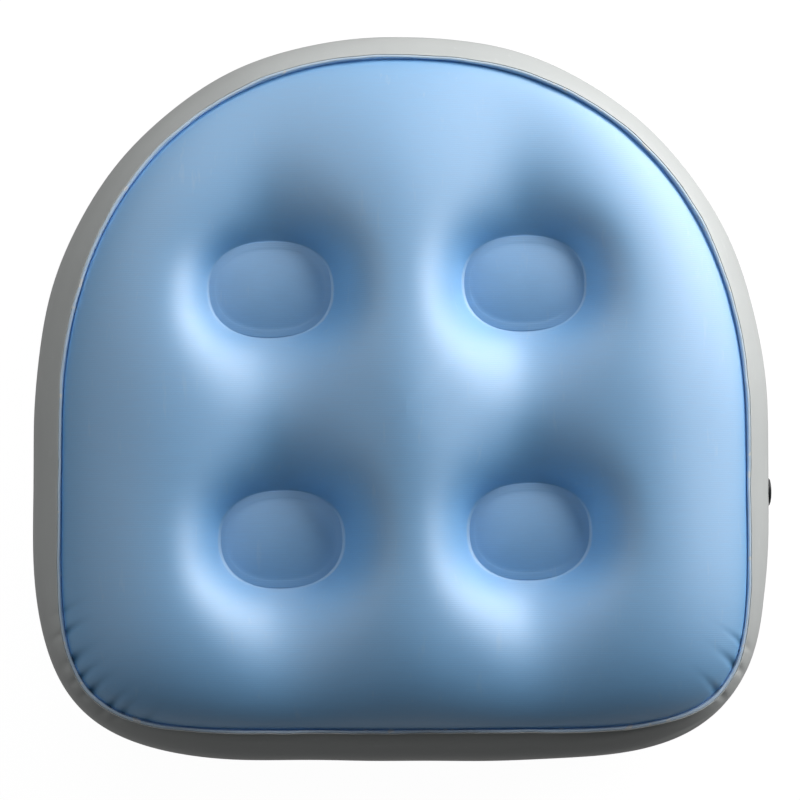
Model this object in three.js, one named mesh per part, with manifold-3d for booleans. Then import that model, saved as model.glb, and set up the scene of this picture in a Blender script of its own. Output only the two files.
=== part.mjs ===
// Inflatable hot-tub cushion: a D-shaped air cushion with four tufts, an inflation valve and suction feet.
// Millimetres, +Z up, +Y towards the arched back, +X to the right of someone who faces the back.
// The origin lies on the ground, under the middle of the area that the cushion covers.
import * as THREE from 'three';
import { mergeVertices } from 'three/addons/utils/BufferGeometryUtils.js';
import Module from 'manifold-3d';

const wasm = await Module();
wasm.setup();

// The plan of the side band at its widest line, and how far the band swells past the seams there
const girthHalfWidth = 201;
const girthBackDepth = 219.6;
const girthFrontDepth = 177;
const sideSwell = 16.1;
const backSwell = 16.1;
const frontSwell = 17.6;

// The sheets and their welds
const sheetThickness = 1;
const bendThickness = 2;
const weldGap = 0.3;
const seamFin = 3.5;
const bendCrowding = 60;
const wallHeight = 54;
const topCrown = 31;
const bottomCrown = 7;

// The four ties that hold the top and bottom panels together, in a pattern that lies slightly turned
const tieSpacingBack = 137;
const tieSpacingFront = 133;
const tieRowDistance = 134.3;
const tiePatternX = -2.6;
const tiePatternY = -9.5;
const tieHalfWidth = 35;
const tieHalfDepth = 27.5;
const topTieSink = 3;
const bottomTieLift = 10;
const topTieReachAcross = 77;
const topTieReachAlong = 170;
const bottomTieReach = 36;
const tieFlange = 5;
const tieFlangeMargin = 1;
const tieWaist = 3;
const tieVentRadius = 4;

// The raised oval patches on the tufts
const patchMargin = 1.6;
const patchEdge = 1.2;
const patchBevel = 3.5;
const patchHeight = 2.8;
const patchDome = 0.9;

// The suction feet and their sockets
const cupSideInsetBack = 89;
const cupSideInsetFront = 76;
const cupBackInset = 98.3;
const cupFrontInset = 73.3;
const cupRimRadius = 20;
const cupRimWidth = 3;
const cupRimThickness = 1.3;
const cupBellHeight = 7.6;
const cupHollow = 4.6;
const cupShoulderRadius = 7;
const cupNeckRadius = 3.7;
const cupHeadRadius = 5.5;
const cupHeadThickness = 2.5;
const cupHeadBevel = 0.8;
const cupTabLength = 9;
const cupTabWidth = 9;
const cupTabRise = 0.4;
const cupTabThickness = 1.2;
const cupPlay = 0.35;
const cupNeckPlay = 0.5;
const socketLip = 1.6;
const socketRoof = 1.4;
const socketFlangeRadius = 15;
const socketFlangeThickness = 1.2;
const socketBossRadius = 9;
const socketBossTaper = 1.2;
const socketLandMargin = 2;
const socketLandReach = 14;

// The inflation valve on the right side, pressed in
const valveFromMiddle = -52;
const valvePatchRadius = 19;
const valvePatchThickness = 1.2;
const valveMouthRadius = 9;
const valveWellWall = 1.2;
const valveNeckWall = 1.4;
const valveNeckLength = 4;
const valveSlideGap = 0.4;
const valveStemRadius = 6;
const valveStemBore = 4.4;
const valveStemLength = 20;
const valveLipRadius = 7.6;
const valveLip = 1.6;
const valveBeadRadius = 7;
const valveBead = 1.4;
const valvePlugProud = 0.8;
const valvePlugHead = 1.6;
const valvePlugHeadRadius = 7.6;
const valvePlugShankRadius = 3.9;
const valvePlugShankLength = 9;
const valvePlugTaper = 0.5;
const valvePlugGripWidth = 7;
const valvePlugGripDepth = 3;
const valvePlugGripRise = 0.6;
const valveFlapRadius = 5.4;
const valveFlapThickness = 0.8;
const valveTetherWidth = 4;
const valveTetherThickness = 0.7;
const valveTetherDrop = 8;
const valveTetherBend = 0.6;
const valveTetherLoop = 1.3;

// One overrun for every cutting tool
const cutOverrun = 2;

// Shape numbers without a unit: curve powers, angles and counts
const seamPowers = { back: 2.24, front: 6 };
const girthPowers = { back: 2.19, front: 4.3 };
const ovalPower = 2.3;
const roundPower = 2;
const crownPower = 3.2;
const rimPower = 0.57;
const topPullPower = 4.5;
const bottomPullPower = 2;
const bendPower = 16;
const rimSnap = 1e-9;
const tieTurn = THREE.MathUtils.degToRad(1.87);
const tetherLean = THREE.MathUtils.degToRad(16);
const stationCount = 48;
const spokeShares = [0.17, 0.35, 0.55, 0.77, 0.93];
const cutLineShares = [1 / 3, 2 / 3];
const fineSteps = 360;
const wallSteps = 8;
const ovalSteps = 24;
const roundSteps = 20;
const bellSteps = 4;
const topRingShares = [0, 0.11, 0.28, 0.54, 0.86, 1];
const bottomTieRingShares = [0, 0.18, 0.4, 0.7, 1];
const landRingShares = [0, 0.5, 1];
const cutStationCount = 2;
const cutShare = 0.6;
const domeShare = 0.55;
const bellPower = 1.3;
const hollowPower = 2;

// Places that follow from the sizes above
const girthPlan = plan(girthHalfWidth, girthBackDepth, girthFrontDepth, girthPowers);
const seamPlan = plan(
  girthHalfWidth - sideSwell, girthBackDepth - backSwell, girthFrontDepth - frontSwell, seamPowers);
const outlineCentre = new THREE.Vector2(0, (girthFrontDepth - girthBackDepth) / 2);
const tieOval = plan(tieHalfWidth, tieHalfDepth, tieHalfDepth, { back: ovalPower, front: ovalPower });

const socketLow = cupBellHeight + cupPlay;
const headLow = socketLow + socketLip + cupPlay;
const headHigh = headLow + cupHeadThickness;
const socketHigh = headHigh + cupPlay + socketRoof;
const landHeight = socketHigh + weldGap;
const lowSeam = landHeight + bottomCrown;
const highSeam = lowSeam + wallHeight;
const wallMiddle = (lowSeam + highSeam) / 2;
const topTieHeight = highSeam - topTieSink;
const bottomTieHeight = landHeight + bottomTieLift;
const landRadius = socketFlangeRadius + socketLandMargin;
const topPull = { across: topTieReachAcross, along: topTieReachAlong, power: topPullPower };
const bottomPull = { across: bottomTieReach, along: bottomTieReach, power: bottomPullPower };
const landPull = { across: socketLandReach, along: socketLandReach, power: bottomPullPower };

const materials = {
  blueFabric: { color: 0x8fb4dc, roughness: 0.55, metalness: 0 },
  greyVinyl: { color: 0x9a9d98, roughness: 0.35, metalness: 0 },
  innerVinyl: { color: 0xc4c8c8, roughness: 0.5, metalness: 0 },
  clearVinyl: { color: 0xcfd8da, roughness: 0.2, metalness: 0 },
  darkVinyl: { color: 0x4a4e50, roughness: 0.45, metalness: 0 },
};

function plan(half, back, front, powers) {
  return { half, back, front, powers };
}

// Distance from the middle of an outline to its edge, at a polar angle.
// Each half is a superellipse, and spread moves the edge outwards.
function reach(outline, angle, spread) {
  const rear = Math.sin(angle) >= 0;
  const power = rear ? outline.powers.back : outline.powers.front;
  const across = Math.abs(Math.cos(angle)) / (outline.half + spread);
  const along = Math.abs(Math.sin(angle)) / ((rear ? outline.back : outline.front) + spread);
  return (across ** power + along ** power) ** (-1 / power);
}

function outlinePoint(outline, angle, spread) {
  const radius = reach(outline, angle, spread);
  return new THREE.Vector2(Math.cos(angle) * radius, Math.sin(angle) * radius);
}

// Polar angles that space stations evenly along the back half and along the front half of an outline,
// and closer where it bends
function evenAngles(outline, count) {
  const angles = [];
  for (const start of [0, Math.PI]) {
    const points = [];
    for (let i = 0; i <= fineSteps; i += 1) {
      points.push(outlinePoint(outline, start + (Math.PI * i) / fineSteps, 0));
    }
    const runs = [0];
    for (let i = 1; i <= fineSteps; i += 1) {
      const step = points[i].clone().sub(points[i - 1]);
      const next = i < fineSteps ? points[i + 1].clone().sub(points[i]) : step;
      runs.push(runs[i - 1] + step.length() + bendCrowding * Math.abs(step.angleTo(next)));
    }
    for (let k = 0; k < count / 2; k += 1) {
      const wanted = (runs[fineSteps] * k) / (count / 2);
      const i = runs.findIndex((run) => run > wanted) - 1;
      const share = (wanted - runs[i]) / (runs[i + 1] - runs[i]);
      angles.push(start + (Math.PI * (i + share)) / fineSteps);
    }
  }
  return angles;
}

function evenTurns(count) {
  return Array.from({ length: count }, (_, i) => (2 * Math.PI * i) / count);
}

function addQuad(corners, a, b, c, d) {
  for (const triangle of [[a, b, c], [a, c, d]]) {
    const [p, q, r] = triangle;
    if (!p.equals(q) && !q.equals(r) && !r.equals(p)) corners.push(p, q, r);
  }
}

// A closed skin from a list of triangle corners, with its faces turned outwards
function closedSkin(corners) {
  const geometry = mergeVertices(new THREE.BufferGeometry().setFromPoints(corners));
  return facingOut(geometry);
}

function facingOut(geometry) {
  const { position } = geometry.attributes;
  const index = geometry.index.array;
  const corner = (k) => new THREE.Vector3().fromBufferAttribute(position, index[k]);
  let volume = 0;
  for (let k = 0; k < index.length; k += 3) volume += corner(k).dot(corner(k + 1).cross(corner(k + 2)));
  if (volume < 0) {
    for (let k = 0; k < index.length; k += 3) {
      [index[k], index[k + 1]] = [index[k + 1], index[k]];
    }
  }
  return geometry;
}

// A section carried round all stations. A closed section gives a ring, and one that starts and
// ends on the middle gives a disc.
function sweep(stations, section, closed) {
  const rows = stations.map(section);
  const corners = [];
  const steps = closed ? rows[0].length : rows[0].length - 1;
  rows.forEach((row, i) => {
    const next = rows[(i + 1) % rows.length];
    for (let j = 0; j < steps; j += 1) {
      const k = (j + 1) % row.length;
      addQuad(corners, row[j], next[j], next[k], row[k]);
    }
  });
  return closedSkin(corners);
}

// A profile of (radius, height) points turned about the Z axis
function turned(profile) {
  const lathe = new THREE.LatheGeometry(profile.map(([r, z]) => new THREE.Vector2(r, z)), roundSteps);
  return facingOut(plainMesh(lathe.rotateX(Math.PI / 2)));
}

// The same profile turned about an axis that points along +X
function turnedAlongX(profile) {
  return turned(profile).rotateY(Math.PI / 2);
}

function plainMesh(geometry) {
  geometry.deleteAttribute('normal');
  geometry.deleteAttribute('uv');
  return mergeVertices(geometry);
}

function toSolid(geometry) {
  return new wasm.Manifold(new wasm.Mesh({
    numProp: 3,
    vertProperties: new Float32Array(geometry.attributes.position.array),
    triVerts: new Uint32Array(geometry.index.array),
  }));
}

function fromSolid(solid) {
  const { vertProperties, triVerts } = solid.getMesh();
  const geometry = new THREE.BufferGeometry();
  geometry.setAttribute('position', new THREE.BufferAttribute(vertProperties, 3));
  geometry.setIndex(new THREE.BufferAttribute(triVerts, 1));
  return geometry;
}

function rod(radius, low, high) {
  return turned([[0, low], [radius, low], [radius, high], [0, high]]);
}

function rodAlongX(radius, low, high) {
  return rod(radius, low, high).rotateY(Math.PI / 2);
}

function piece(name, geometry, material) {
  const mesh = new THREE.Mesh(geometry, new THREE.MeshStandardMaterial(material));
  mesh.name = name;
  return mesh;
}

// Where a panel is held: a flat oval at its own height, which draws the panel in around it. The pull
// ends at its reach, which may differ across and along the oval, and its power says how fast it falls off.
function heldPlace(centre, turn, oval, rise, pull) {
  return { centre, turn, oval, rise, pull };
}

function inHoldFrame(hold, point) {
  return point.clone().sub(hold.centre).rotateAround(new THREE.Vector2(), -hold.turn);
}

function pullOf(hold, point) {
  const local = inHoldFrame(hold, point);
  const angle = Math.atan2(local.y, local.x);
  const outside = local.length() - reach(hold.oval, angle, 0);
  const pullReach = 1 / Math.hypot(Math.cos(angle) / hold.pull.across, Math.sin(angle) / hold.pull.along);
  return Math.min(Math.max(1 - outside / pullReach, 0), 1) ** hold.pull.power;
}

// How far out towards the rim a point of a panel lies, from 0 at the outline's middle to 1
function rimShare(point, spread) {
  const local = point.clone().sub(outlineCentre);
  const share = local.length() / reach(seamPlan, Math.atan2(local.y, local.x), spread);
  return share > 1 - rimSnap ? 1 : share;
}

// Rise of an inflated panel past its seam: a crown that is steep at the rim, drawn to its held places
function panelRise(panel, point, spread) {
  const share = rimShare(point, spread);
  if (share === 1) return 0;
  let rise = panel.crown * (1 - share ** crownPower) ** rimPower;
  for (const hold of panel.holds) rise += (hold.rise - rise) * pullOf(hold, point);
  return rise;
}

const seamAngles = evenAngles(seamPlan, stationCount);

function seamPoint(station, spread) {
  const angle = seamAngles[(station + stationCount) % stationCount];
  return outlinePoint(seamPlan, angle, spread).add(outlineCentre);
}

function between(start, end, shares) {
  return shares.map((share) => start.clone().lerp(end, share));
}

// The part of a panel's rim and spokes that goes round one tie
function quarterLoop(quarter, spread) {
  const first = (quarter * stationCount) / 4;
  const last = first + stationCount / 4;
  const spokes = [first, last].map((station) => between(tieMiddle, seamPoint(station, spread), spokeShares));
  const rim = [];
  for (let station = first; station <= last; station += 1) rim.push(seamPoint(station, spread));
  return { start: [tieMiddle, ...spokes[0]], rim, end: spokes[1].reverse() };
}

// One cell a tie: the rim, two spokes and the middle of the tie pattern
function topCells(holds, spread) {
  return holds.map((hold, quarter) => {
    const { start, rim, end } = quarterLoop(quarter, spread);
    return { hold, shares: topRingShares, loop: [...start, ...rim, ...end] };
  });
}

// Two cells a quarter: the tie's, and the corner that holds the foot's land, with a bent line between them
function bottomCells(holds, spread) {
  const cells = [];
  for (let quarter = 0; quarter < tieOrder.length; quarter += 1) {
    const [tie, land] = [holds[quarter], holds[quarter + tieOrder.length]];
    const { start, rim, end } = quarterLoop(quarter, spread);
    const from = rim[cutStationCount];
    const to = rim[rim.length - 1 - cutStationCount];
    const bend = tie.centre.clone().lerp(land.centre, cutShare);
    const line = [...between(from, bend, cutLineShares), bend, ...between(bend, to, cutLineShares)];
    const tieLoop = [
      ...start, ...rim.slice(0, cutStationCount + 1), ...line,
      ...rim.slice(rim.length - 1 - cutStationCount), ...end];
    const landLoop = [...rim.slice(cutStationCount, rim.length - cutStationCount), ...line.reverse()];
    cells.push({ hold: tie, shares: bottomTieRingShares, loop: tieLoop });
    cells.push({ hold: land, shares: landRingShares, loop: landLoop });
  }
  return cells;
}

// Adds one side of a panel: rings from each held oval out to its cell's loop, and the oval itself
function addPanelSide(corners, cells, heightAt, flip) {
  const lift = (point) => new THREE.Vector3(point.x, point.y, heightAt(point));
  for (const { hold, shares, loop } of cells) {
    const rows = shares.map((share) => loop.map((point) => {
      const local = inHoldFrame(hold, point);
      const edge = outlinePoint(hold.oval, Math.atan2(local.y, local.x), 0)
        .rotateAround(new THREE.Vector2(), hold.turn).add(hold.centre);
      return lift(edge.multiplyScalar(1 - share).addScaledVector(point, share));
    }));
    const middle = lift(hold.centre);
    loop.forEach((_, i) => {
      const next = (i + 1) % loop.length;
      addFacing(corners, flip, middle, rows[0][i], rows[0][next], middle);
      for (let j = 1; j < rows.length; j += 1) {
        addFacing(corners, flip, rows[j - 1][i], rows[j][i], rows[j][next], rows[j - 1][next]);
      }
    });
  }
}

// A four-cornered facet of either side. Both sides are split along the same diagonal, so a thin sheet
// keeps its thickness where it is twisted.
function addFacing(corners, flip, a, b, c, d) {
  if (flip) addQuad(corners, a, d, c, b);
  else addQuad(corners, a, b, c, d);
}

// Thickness of a panel's sheet, measured upright: more at the bend beside the weld lip
function sheetDrop(point) {
  return THREE.MathUtils.lerp(sheetThickness, bendThickness, rimShare(point, 0) ** bendPower);
}

// A panel sheet with its turned-up weld lip. The sign is 1 for the top panel and -1 for the bottom one.
function panelSheet(panel) {
  const { seam, sign, makeCells, holds } = panel;
  const corners = [];
  const outerHeight = (point) => seam + sign * panelRise(panel, point, -sheetThickness);
  const innerHeight = (point) => seam + sign * (panelRise(panel, point, 0) - sheetDrop(point));
  addPanelSide(corners, makeCells(holds, -sheetThickness), outerHeight, sign < 0);
  addPanelSide(corners, makeCells(holds, 0), innerHeight, sign > 0);
  const lip = [
    [-sheetThickness, seam],
    [-sheetThickness, seam + sign * seamFin],
    [0, seam + sign * seamFin],
    [0, seam - sign * bendThickness],
  ];
  for (let station = 0; station < stationCount; station += 1) {
    const here = lip.map(([spread, z]) => lifted(seamPoint(station, spread), z));
    const next = lip.map(([spread, z]) => lifted(seamPoint(station + 1, spread), z));
    for (let j = 1; j < lip.length; j += 1) {
      addFacing(corners, sign < 0, here[j - 1], here[j], next[j], next[j - 1]);
    }
  }
  return closedSkin(corners);
}

function lifted(point, z) {
  return new THREE.Vector3(point.x, point.y, z);
}

// A surface of the side band: an arc from seam to seam, carried out to the girth at its middle.
// Lean runs from -1 at the low seam to 1 at the high one.
const wallArc = 2 * Math.atan(sideSwell / (wallHeight / 2));

function wallPoint(surface, angle, lean) {
  const share = (Math.cos(wallArc * lean) - Math.cos(wallArc)) / (1 - Math.cos(wallArc));
  const seamReach = reach(seamPlan, angle, surface.seamSpread);
  const radius = seamReach + (reach(girthPlan, angle, surface.girthSpread) - seamReach) * share;
  return new THREE.Vector3(
    outlineCentre.x + radius * Math.cos(angle),
    outlineCentre.y + radius * Math.sin(angle),
    wallMiddle + (surface.halfHeight * Math.sin(wallArc * lean)) / Math.sin(wallArc));
}

const wallLeans = Array.from({ length: wallSteps + 1 }, (_, i) => 1 - (2 * i) / wallSteps);
const wallOutside = {
  seamSpread: weldGap + sheetThickness, girthSpread: 0, halfHeight: wallHeight / 2 };

function wallInside(inset) {
  return {
    seamSpread: weldGap - inset,
    girthSpread: -sheetThickness - inset,
    halfHeight: wallHeight / 2 - sheetThickness,
  };
}

function sideBand() {
  const ring = sweep(seamAngles, (angle) => {
    const outside = wallLeans.map((lean) => wallPoint(wallOutside, angle, lean));
    const inside = wallLeans.map((lean) => wallPoint(wallInside(0), angle, lean)).reverse();
    const fin = (spread, z) => lifted(outlinePoint(seamPlan, angle, spread).add(outlineCentre), z);
    return [
      fin(weldGap, highSeam + seamFin), fin(weldGap + sheetThickness, highSeam + seamFin), ...outside,
      fin(weldGap + sheetThickness, lowSeam - seamFin), fin(weldGap, lowSeam - seamFin), ...inside,
    ];
  }, true);
  return fromSolid(toSolid(ring).subtract(toSolid(atValve(
    rodAlongX(valveMouthRadius, -valveMouthRadius, cutOverrun)))));
}

// The air space within the band, as a solid that clears the band's inside by an inset
function airSpace(inset) {
  return toSolid(sweep(seamAngles, (angle) => {
    const side = wallLeans.map((lean) => wallPoint(wallInside(inset), angle, lean));
    return [
      lifted(outlineCentre, side[0].z), ...side, lifted(outlineCentre, side[side.length - 1].z)];
  }, false));
}

// The tie pattern
const tieOrder = ['back_right', 'back_left', 'front_left', 'front_right'];
const tieMiddle = new THREE.Vector2(tiePatternX, tiePatternY);

function quarterSigns(name) {
  return [name.endsWith('right') ? 1 : -1, name.startsWith('back') ? 1 : -1];
}

function tieCentre(name) {
  const [right, back] = quarterSigns(name);
  const spacing = back > 0 ? tieSpacingBack : tieSpacingFront;
  return new THREE.Vector2((right * spacing) / 2, (back * tieRowDistance) / 2)
    .rotateAround(new THREE.Vector2(), tieTurn).add(tieMiddle);
}

function cupCentre(name) {
  const [right, back] = quarterSigns(name);
  const halfDepth = (girthBackDepth + girthFrontDepth) / 2;
  const [sideInset, rowInset] = back > 0 ? [cupSideInsetBack, cupBackInset] : [cupSideInsetFront, cupFrontInset];
  return new THREE.Vector2(right * (girthHalfWidth - sideInset), back * (halfDepth - rowInset));
}

function tiePlaces(rise, pull) {
  return tieOrder.map((name) => heldPlace(tieCentre(name), tieTurn, tieOval, rise, pull));
}

function landPlaces() {
  const round = plan(landRadius, landRadius, landRadius, { back: roundPower, front: roundPower });
  return tieOrder.map((name) => heldPlace(cupCentre(name), 0, round, bottomCrown, landPull));
}

// An oval ring or disc round a tie, from a section of (spread, height) points
function tieOvalSkin(section, closed) {
  return sweep(evenTurns(ovalSteps), (angle) => section.map(([spread, z]) => (
    spread === null ? new THREE.Vector3(0, 0, z) : lifted(outlinePoint(tieOval, angle, spread), z)
  )), closed);
}

// The inner sleeve that ties the panels together, with flanges welded to both and two air vents
function tieTube() {
  const high = topTieHeight - sheetThickness - weldGap;
  const low = bottomTieHeight + sheetThickness + weldGap;
  const middle = (high + low) / 2;
  const edge = -tieFlangeMargin;
  const wall = edge - tieFlange;
  const bore = wall - sheetThickness;
  const sleeve = tieOvalSkin([
    [edge, high], [edge, high - sheetThickness], [wall, high - sheetThickness], [wall - tieWaist, middle],
    [wall, low + sheetThickness], [edge, low + sheetThickness], [edge, low],
    [bore, low], [bore - tieWaist, middle], [bore, high],
  ], true);
  const vent = rodAlongX(tieVentRadius, -tieHalfWidth, tieHalfWidth).translate(0, 0, middle);
  return fromSolid(toSolid(sleeve).subtract(toSolid(vent)));
}

// The oval patch on a tuft: a thin rim, a bevel and a slightly domed middle
function tuftPatch() {
  const base = topTieHeight + weldGap;
  const bevelTop = base + patchHeight;
  const domeSpread = -patchMargin - patchBevel - (tieHalfDepth - patchMargin - patchBevel) * (1 - domeShare);
  return tieOvalSkin([
    [null, base],
    [-patchMargin, base],
    [-patchMargin, base + patchEdge],
    [-patchMargin - patchBevel, bevelTop],
    [domeSpread, bevelTop + patchDome * (1 - domeShare ** 2)],
    [null, bevelTop + patchDome],
  ], false);
}

// The moulded socket of a foot, welded under the bottom panel: a flange, a boss and a lipped pocket
function cupSocket() {
  const pocket = cupHeadRadius + cupPlay;
  const mouth = cupNeckRadius + cupNeckPlay;
  return turned([
    [0, socketHigh],
    [socketFlangeRadius, socketHigh],
    [socketFlangeRadius, socketHigh - socketFlangeThickness],
    [socketBossRadius, socketHigh - socketFlangeThickness],
    [socketBossRadius - socketBossTaper, socketLow],
    [mouth, socketLow],
    [mouth, socketLow + socketLip],
    [pocket, socketLow + socketLip],
    [pocket, headHigh + cupPlay],
    [0, headHigh + cupPlay],
  ]);
}

// A suction cup with a flat rim, a bell, a neck and a mushroom head, and a release tab on its rim
function suctionCup() {
  const hollowRadius = cupRimRadius - cupRimWidth;
  const steps = Array.from({ length: bellSteps + 1 }, (_, i) => i / bellSteps);
  const hollow = steps.map((share) => [
    hollowRadius * (1 - share), cupHollow * (1 - (1 - share) ** hollowPower)]).reverse();
  const bell = steps.map((share) => [
    cupRimRadius + (cupShoulderRadius - cupRimRadius) * share,
    cupRimThickness + (cupBellHeight - cupRimThickness) * (1 - (1 - share) ** bellPower)]);
  const body = turned([
    ...hollow,
    [cupRimRadius, 0],
    ...bell,
    [cupNeckRadius, cupBellHeight],
    [cupNeckRadius, headLow],
    [cupHeadRadius, headLow],
    [cupHeadRadius, headHigh - cupHeadBevel],
    [cupHeadRadius - cupHeadBevel, headHigh],
    [0, headHigh],
  ]);
  return fromSolid(toSolid(body).add(toSolid(releaseTab(hollowRadius))));
}

// A flat tongue with a round end, from inside the rim outwards along -Y
function releaseTab(from) {
  const half = cupTabWidth / 2;
  const straight = cupRimRadius + cupTabLength - half;
  const outline = new THREE.Shape();
  outline.moveTo(-half, -from - cupTabRise);
  outline.lineTo(-half, -straight);
  outline.absarc(0, -straight, half, Math.PI, 2 * Math.PI, false);
  outline.lineTo(half, -from - cupTabRise);
  const tab = new THREE.ExtrudeGeometry(
    outline, { depth: cupTabThickness, bevelEnabled: false, curveSegments: bellSteps });
  return facingOut(plainMesh(tab.translate(0, 0, cupTabRise)));
}

// The valve. Along its axis, zero is the widest line of the band, and the outside is positive.
const valveSideShare = (Math.abs(valveFromMiddle - outlineCentre.y) / girthFrontDepth) ** girthPowers.front;
const valvePlace = new THREE.Vector3(
  girthHalfWidth * (1 - valveSideShare) ** (1 / girthPowers.front), valveFromMiddle, wallMiddle);
const plugHeadLow = valvePlugProud - valvePlugHead;
const stemHigh = plugHeadLow - weldGap;
const stemLow = stemHigh - valveStemLength;
const wellFloor = stemHigh - valveLip - valveSlideGap;
const neckHigh = wellFloor - valveWellWall;
const neckLow = neckHigh - valveNeckLength;

function atValve(geometry) {
  return geometry.translate(valvePlace.x, valvePlace.y, valvePlace.z);
}

// The collar: a patch welded inside the band round its hole, with a shallow well and a neck
function valveCollar() {
  const solidAt = (radius, low, high) => toSolid(atValve(rodAlongX(radius, low, high)));
  const depth = -valvePatchRadius;
  const inside = airSpace(weldGap);
  const shell = inside.subtract(airSpace(weldGap + valvePatchThickness));
  const patch = shell.intersect(solidAt(valvePatchRadius, depth, cutOverrun));
  const bore = valveStemRadius + valveSlideGap;
  const well = solidAt(valveMouthRadius + valveWellWall, neckHigh, cutOverrun);
  const neck = solidAt(bore + valveNeckWall, neckLow, wellFloor);
  return fromSolid(well.intersect(inside).add(patch).add(neck)
    .subtract(solidAt(valveMouthRadius, wellFloor, cutOverrun))
    .subtract(solidAt(bore, depth, cutOverrun)));
}

// The stem: a tube that slides in the collar between its lip and its bead
function valveStem() {
  return turnedAlongX([
    [valveStemBore, stemLow], [valveBeadRadius, stemLow], [valveBeadRadius, stemLow + valveBead],
    [valveStemRadius, stemLow + valveBead], [valveStemRadius, stemHigh - valveLip],
    [valveLipRadius, stemHigh - valveLip], [valveLipRadius, stemHigh], [valveStemBore, stemHigh],
    [valveStemBore, stemLow],
  ]);
}

// The check flap that hangs over the inner end of the stem
function valveFlap() {
  return turnedAlongX([
    [0, -valveFlapThickness], [valveFlapRadius, -valveFlapThickness], [valveFlapRadius, 0], [0, 0],
  ]);
}

// The plug: a tapered shank under a round head with a raised grip
function valvePlug() {
  const tip = plugHeadLow - valvePlugShankLength;
  const body = turnedAlongX([
    [0, tip], [valvePlugShankRadius - valvePlugTaper, tip], [valvePlugShankRadius, tip + valvePlugShankRadius],
    [valvePlugShankRadius, plugHeadLow], [valvePlugHeadRadius, plugHeadLow],
    [valvePlugHeadRadius, valvePlugProud], [0, valvePlugProud],
  ]);
  const grip = new THREE.BoxGeometry(2 * valvePlugGripRise, valvePlugGripWidth, valvePlugGripDepth);
  const gripSolid = toSolid(facingOut(plainMesh(grip.translate(valvePlugProud, 0, 0))));
  return fromSolid(toSolid(body).add(gripSolid));
}

// The tether: a flat strap from the stem's lip, over the edge of the hole and down the band, and in a loop
// back to the plug's head. Its middle line runs in the plane of the valve's axis and the vertical.
function valveTether() {
  const lay = weldGap + valveTetherThickness / 2;
  const lipSide = valveLipRadius + lay;
  const bandRadius = (wallHeight ** 2 / 4 + sideSwell ** 2) / (2 * sideSwell);
  const over = bandRadius + lay;
  const start = Math.asin((lipSide + valveTetherBend) / (over - valveTetherBend));
  const end = Math.asin((lipSide + valveTetherDrop) / over);
  const arc = (radius, spin, size, from, to, clockwise) => new THREE.EllipseCurve(
    radius * Math.cos(spin) - bandRadius, radius * Math.sin(spin), size, size, from, to, clockwise);
  const edge = arc(over - valveTetherBend, start, valveTetherBend, -Math.PI / 2, start, false);
  const down = arc(0, 0, over, start, end, false);
  const loop = arc(over + valveTetherLoop, end, valveTetherLoop, end + Math.PI, tetherLean, true);
  const foot = loop.getPoint(1);
  const head = new THREE.Vector2(
    valvePlugProud - valveTetherThickness / 2, valvePlugHeadRadius + weldGap);
  const corner = new THREE.Vector2(head.x, foot.y - (head.x - foot.x) / Math.tan(tetherLean));
  const back = new THREE.QuadraticBezierCurve(foot, corner, head);
  return strap([
    new THREE.Vector2(stemHigh - valveLip / 2, lipSide), ...edge.getPoints(bellSteps),
    ...down.getPoints(bellSteps).slice(1), ...loop.getPoints(wallSteps).slice(1),
    ...back.getPoints(bellSteps).slice(1),
  ]);
}

// A flat strap along a line of (out, down) points. At each point the strap's faces lie half a thickness
// to either side of the middle line.
function strap(line) {
  const sides = [1, -1].map((side) => line.map((point, i) => {
    const along = line[Math.min(i + 1, line.length - 1)].clone().sub(line[Math.max(i - 1, 0)]).normalize();
    return new THREE.Vector2(-along.y, along.x).multiplyScalar((side * valveTetherThickness) / 2).add(point);
  }));
  const outline = new THREE.Shape([...sides[0], ...sides[1].reverse()]);
  const solid = new THREE.ExtrudeGeometry(outline, { depth: valveTetherWidth, bevelEnabled: false });
  return facingOut(plainMesh(solid.rotateX(-Math.PI / 2).translate(0, -valveTetherWidth / 2, 0)));
}

function buildShell() {
  const shell = new THREE.Group();
  const top = {
    seam: highSeam, sign: 1, crown: topCrown, makeCells: topCells, holds: tiePlaces(-topTieSink, topPull) };
  const bottom = {
    seam: lowSeam,
    sign: -1,
    crown: bottomCrown,
    makeCells: bottomCells,
    holds: [...tiePlaces(bottomCrown - bottomTieLift, bottomPull), ...landPlaces()],
  };
  shell.add(piece('top_panel', panelSheet(top), materials.blueFabric));
  shell.add(piece('side_band', sideBand(), materials.greyVinyl));
  shell.add(piece('bottom_panel', panelSheet(bottom), materials.greyVinyl));
  return shell;
}

function buildTies() {
  const ties = new THREE.Group();
  for (const name of tieOrder) {
    const tie = new THREE.Group();
    tie.add(piece(`tie_tube_${name}`, tieTube(), materials.innerVinyl));
    tie.add(piece(`tuft_patch_${name}`, tuftPatch(), materials.blueFabric));
    const centre = tieCentre(name);
    tie.position.set(centre.x, centre.y, 0);
    tie.rotation.z = tieTurn;
    ties.add(tie);
  }
  return ties;
}

function buildFeet() {
  const feet = new THREE.Group();
  for (const name of tieOrder) {
    const foot = new THREE.Group();
    foot.add(piece(`cup_socket_${name}`, cupSocket(), materials.clearVinyl));
    foot.add(piece(`suction_cup_${name}`, suctionCup(), materials.clearVinyl));
    const centre = cupCentre(name);
    foot.position.set(centre.x, centre.y, 0);
    feet.add(foot);
  }
  return feet;
}

function buildValve() {
  const valve = new THREE.Group();
  valve.add(piece('valve_stem', valveStem(), materials.darkVinyl));
  const flap = piece('valve_flap', valveFlap(), materials.darkVinyl);
  flap.position.x = stemLow - weldGap;
  valve.add(flap);
  valve.add(piece('valve_plug', valvePlug(), materials.darkVinyl));
  valve.add(piece('valve_tether', valveTether(), materials.darkVinyl));
  valve.position.copy(valvePlace);
  return valve;
}

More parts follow.
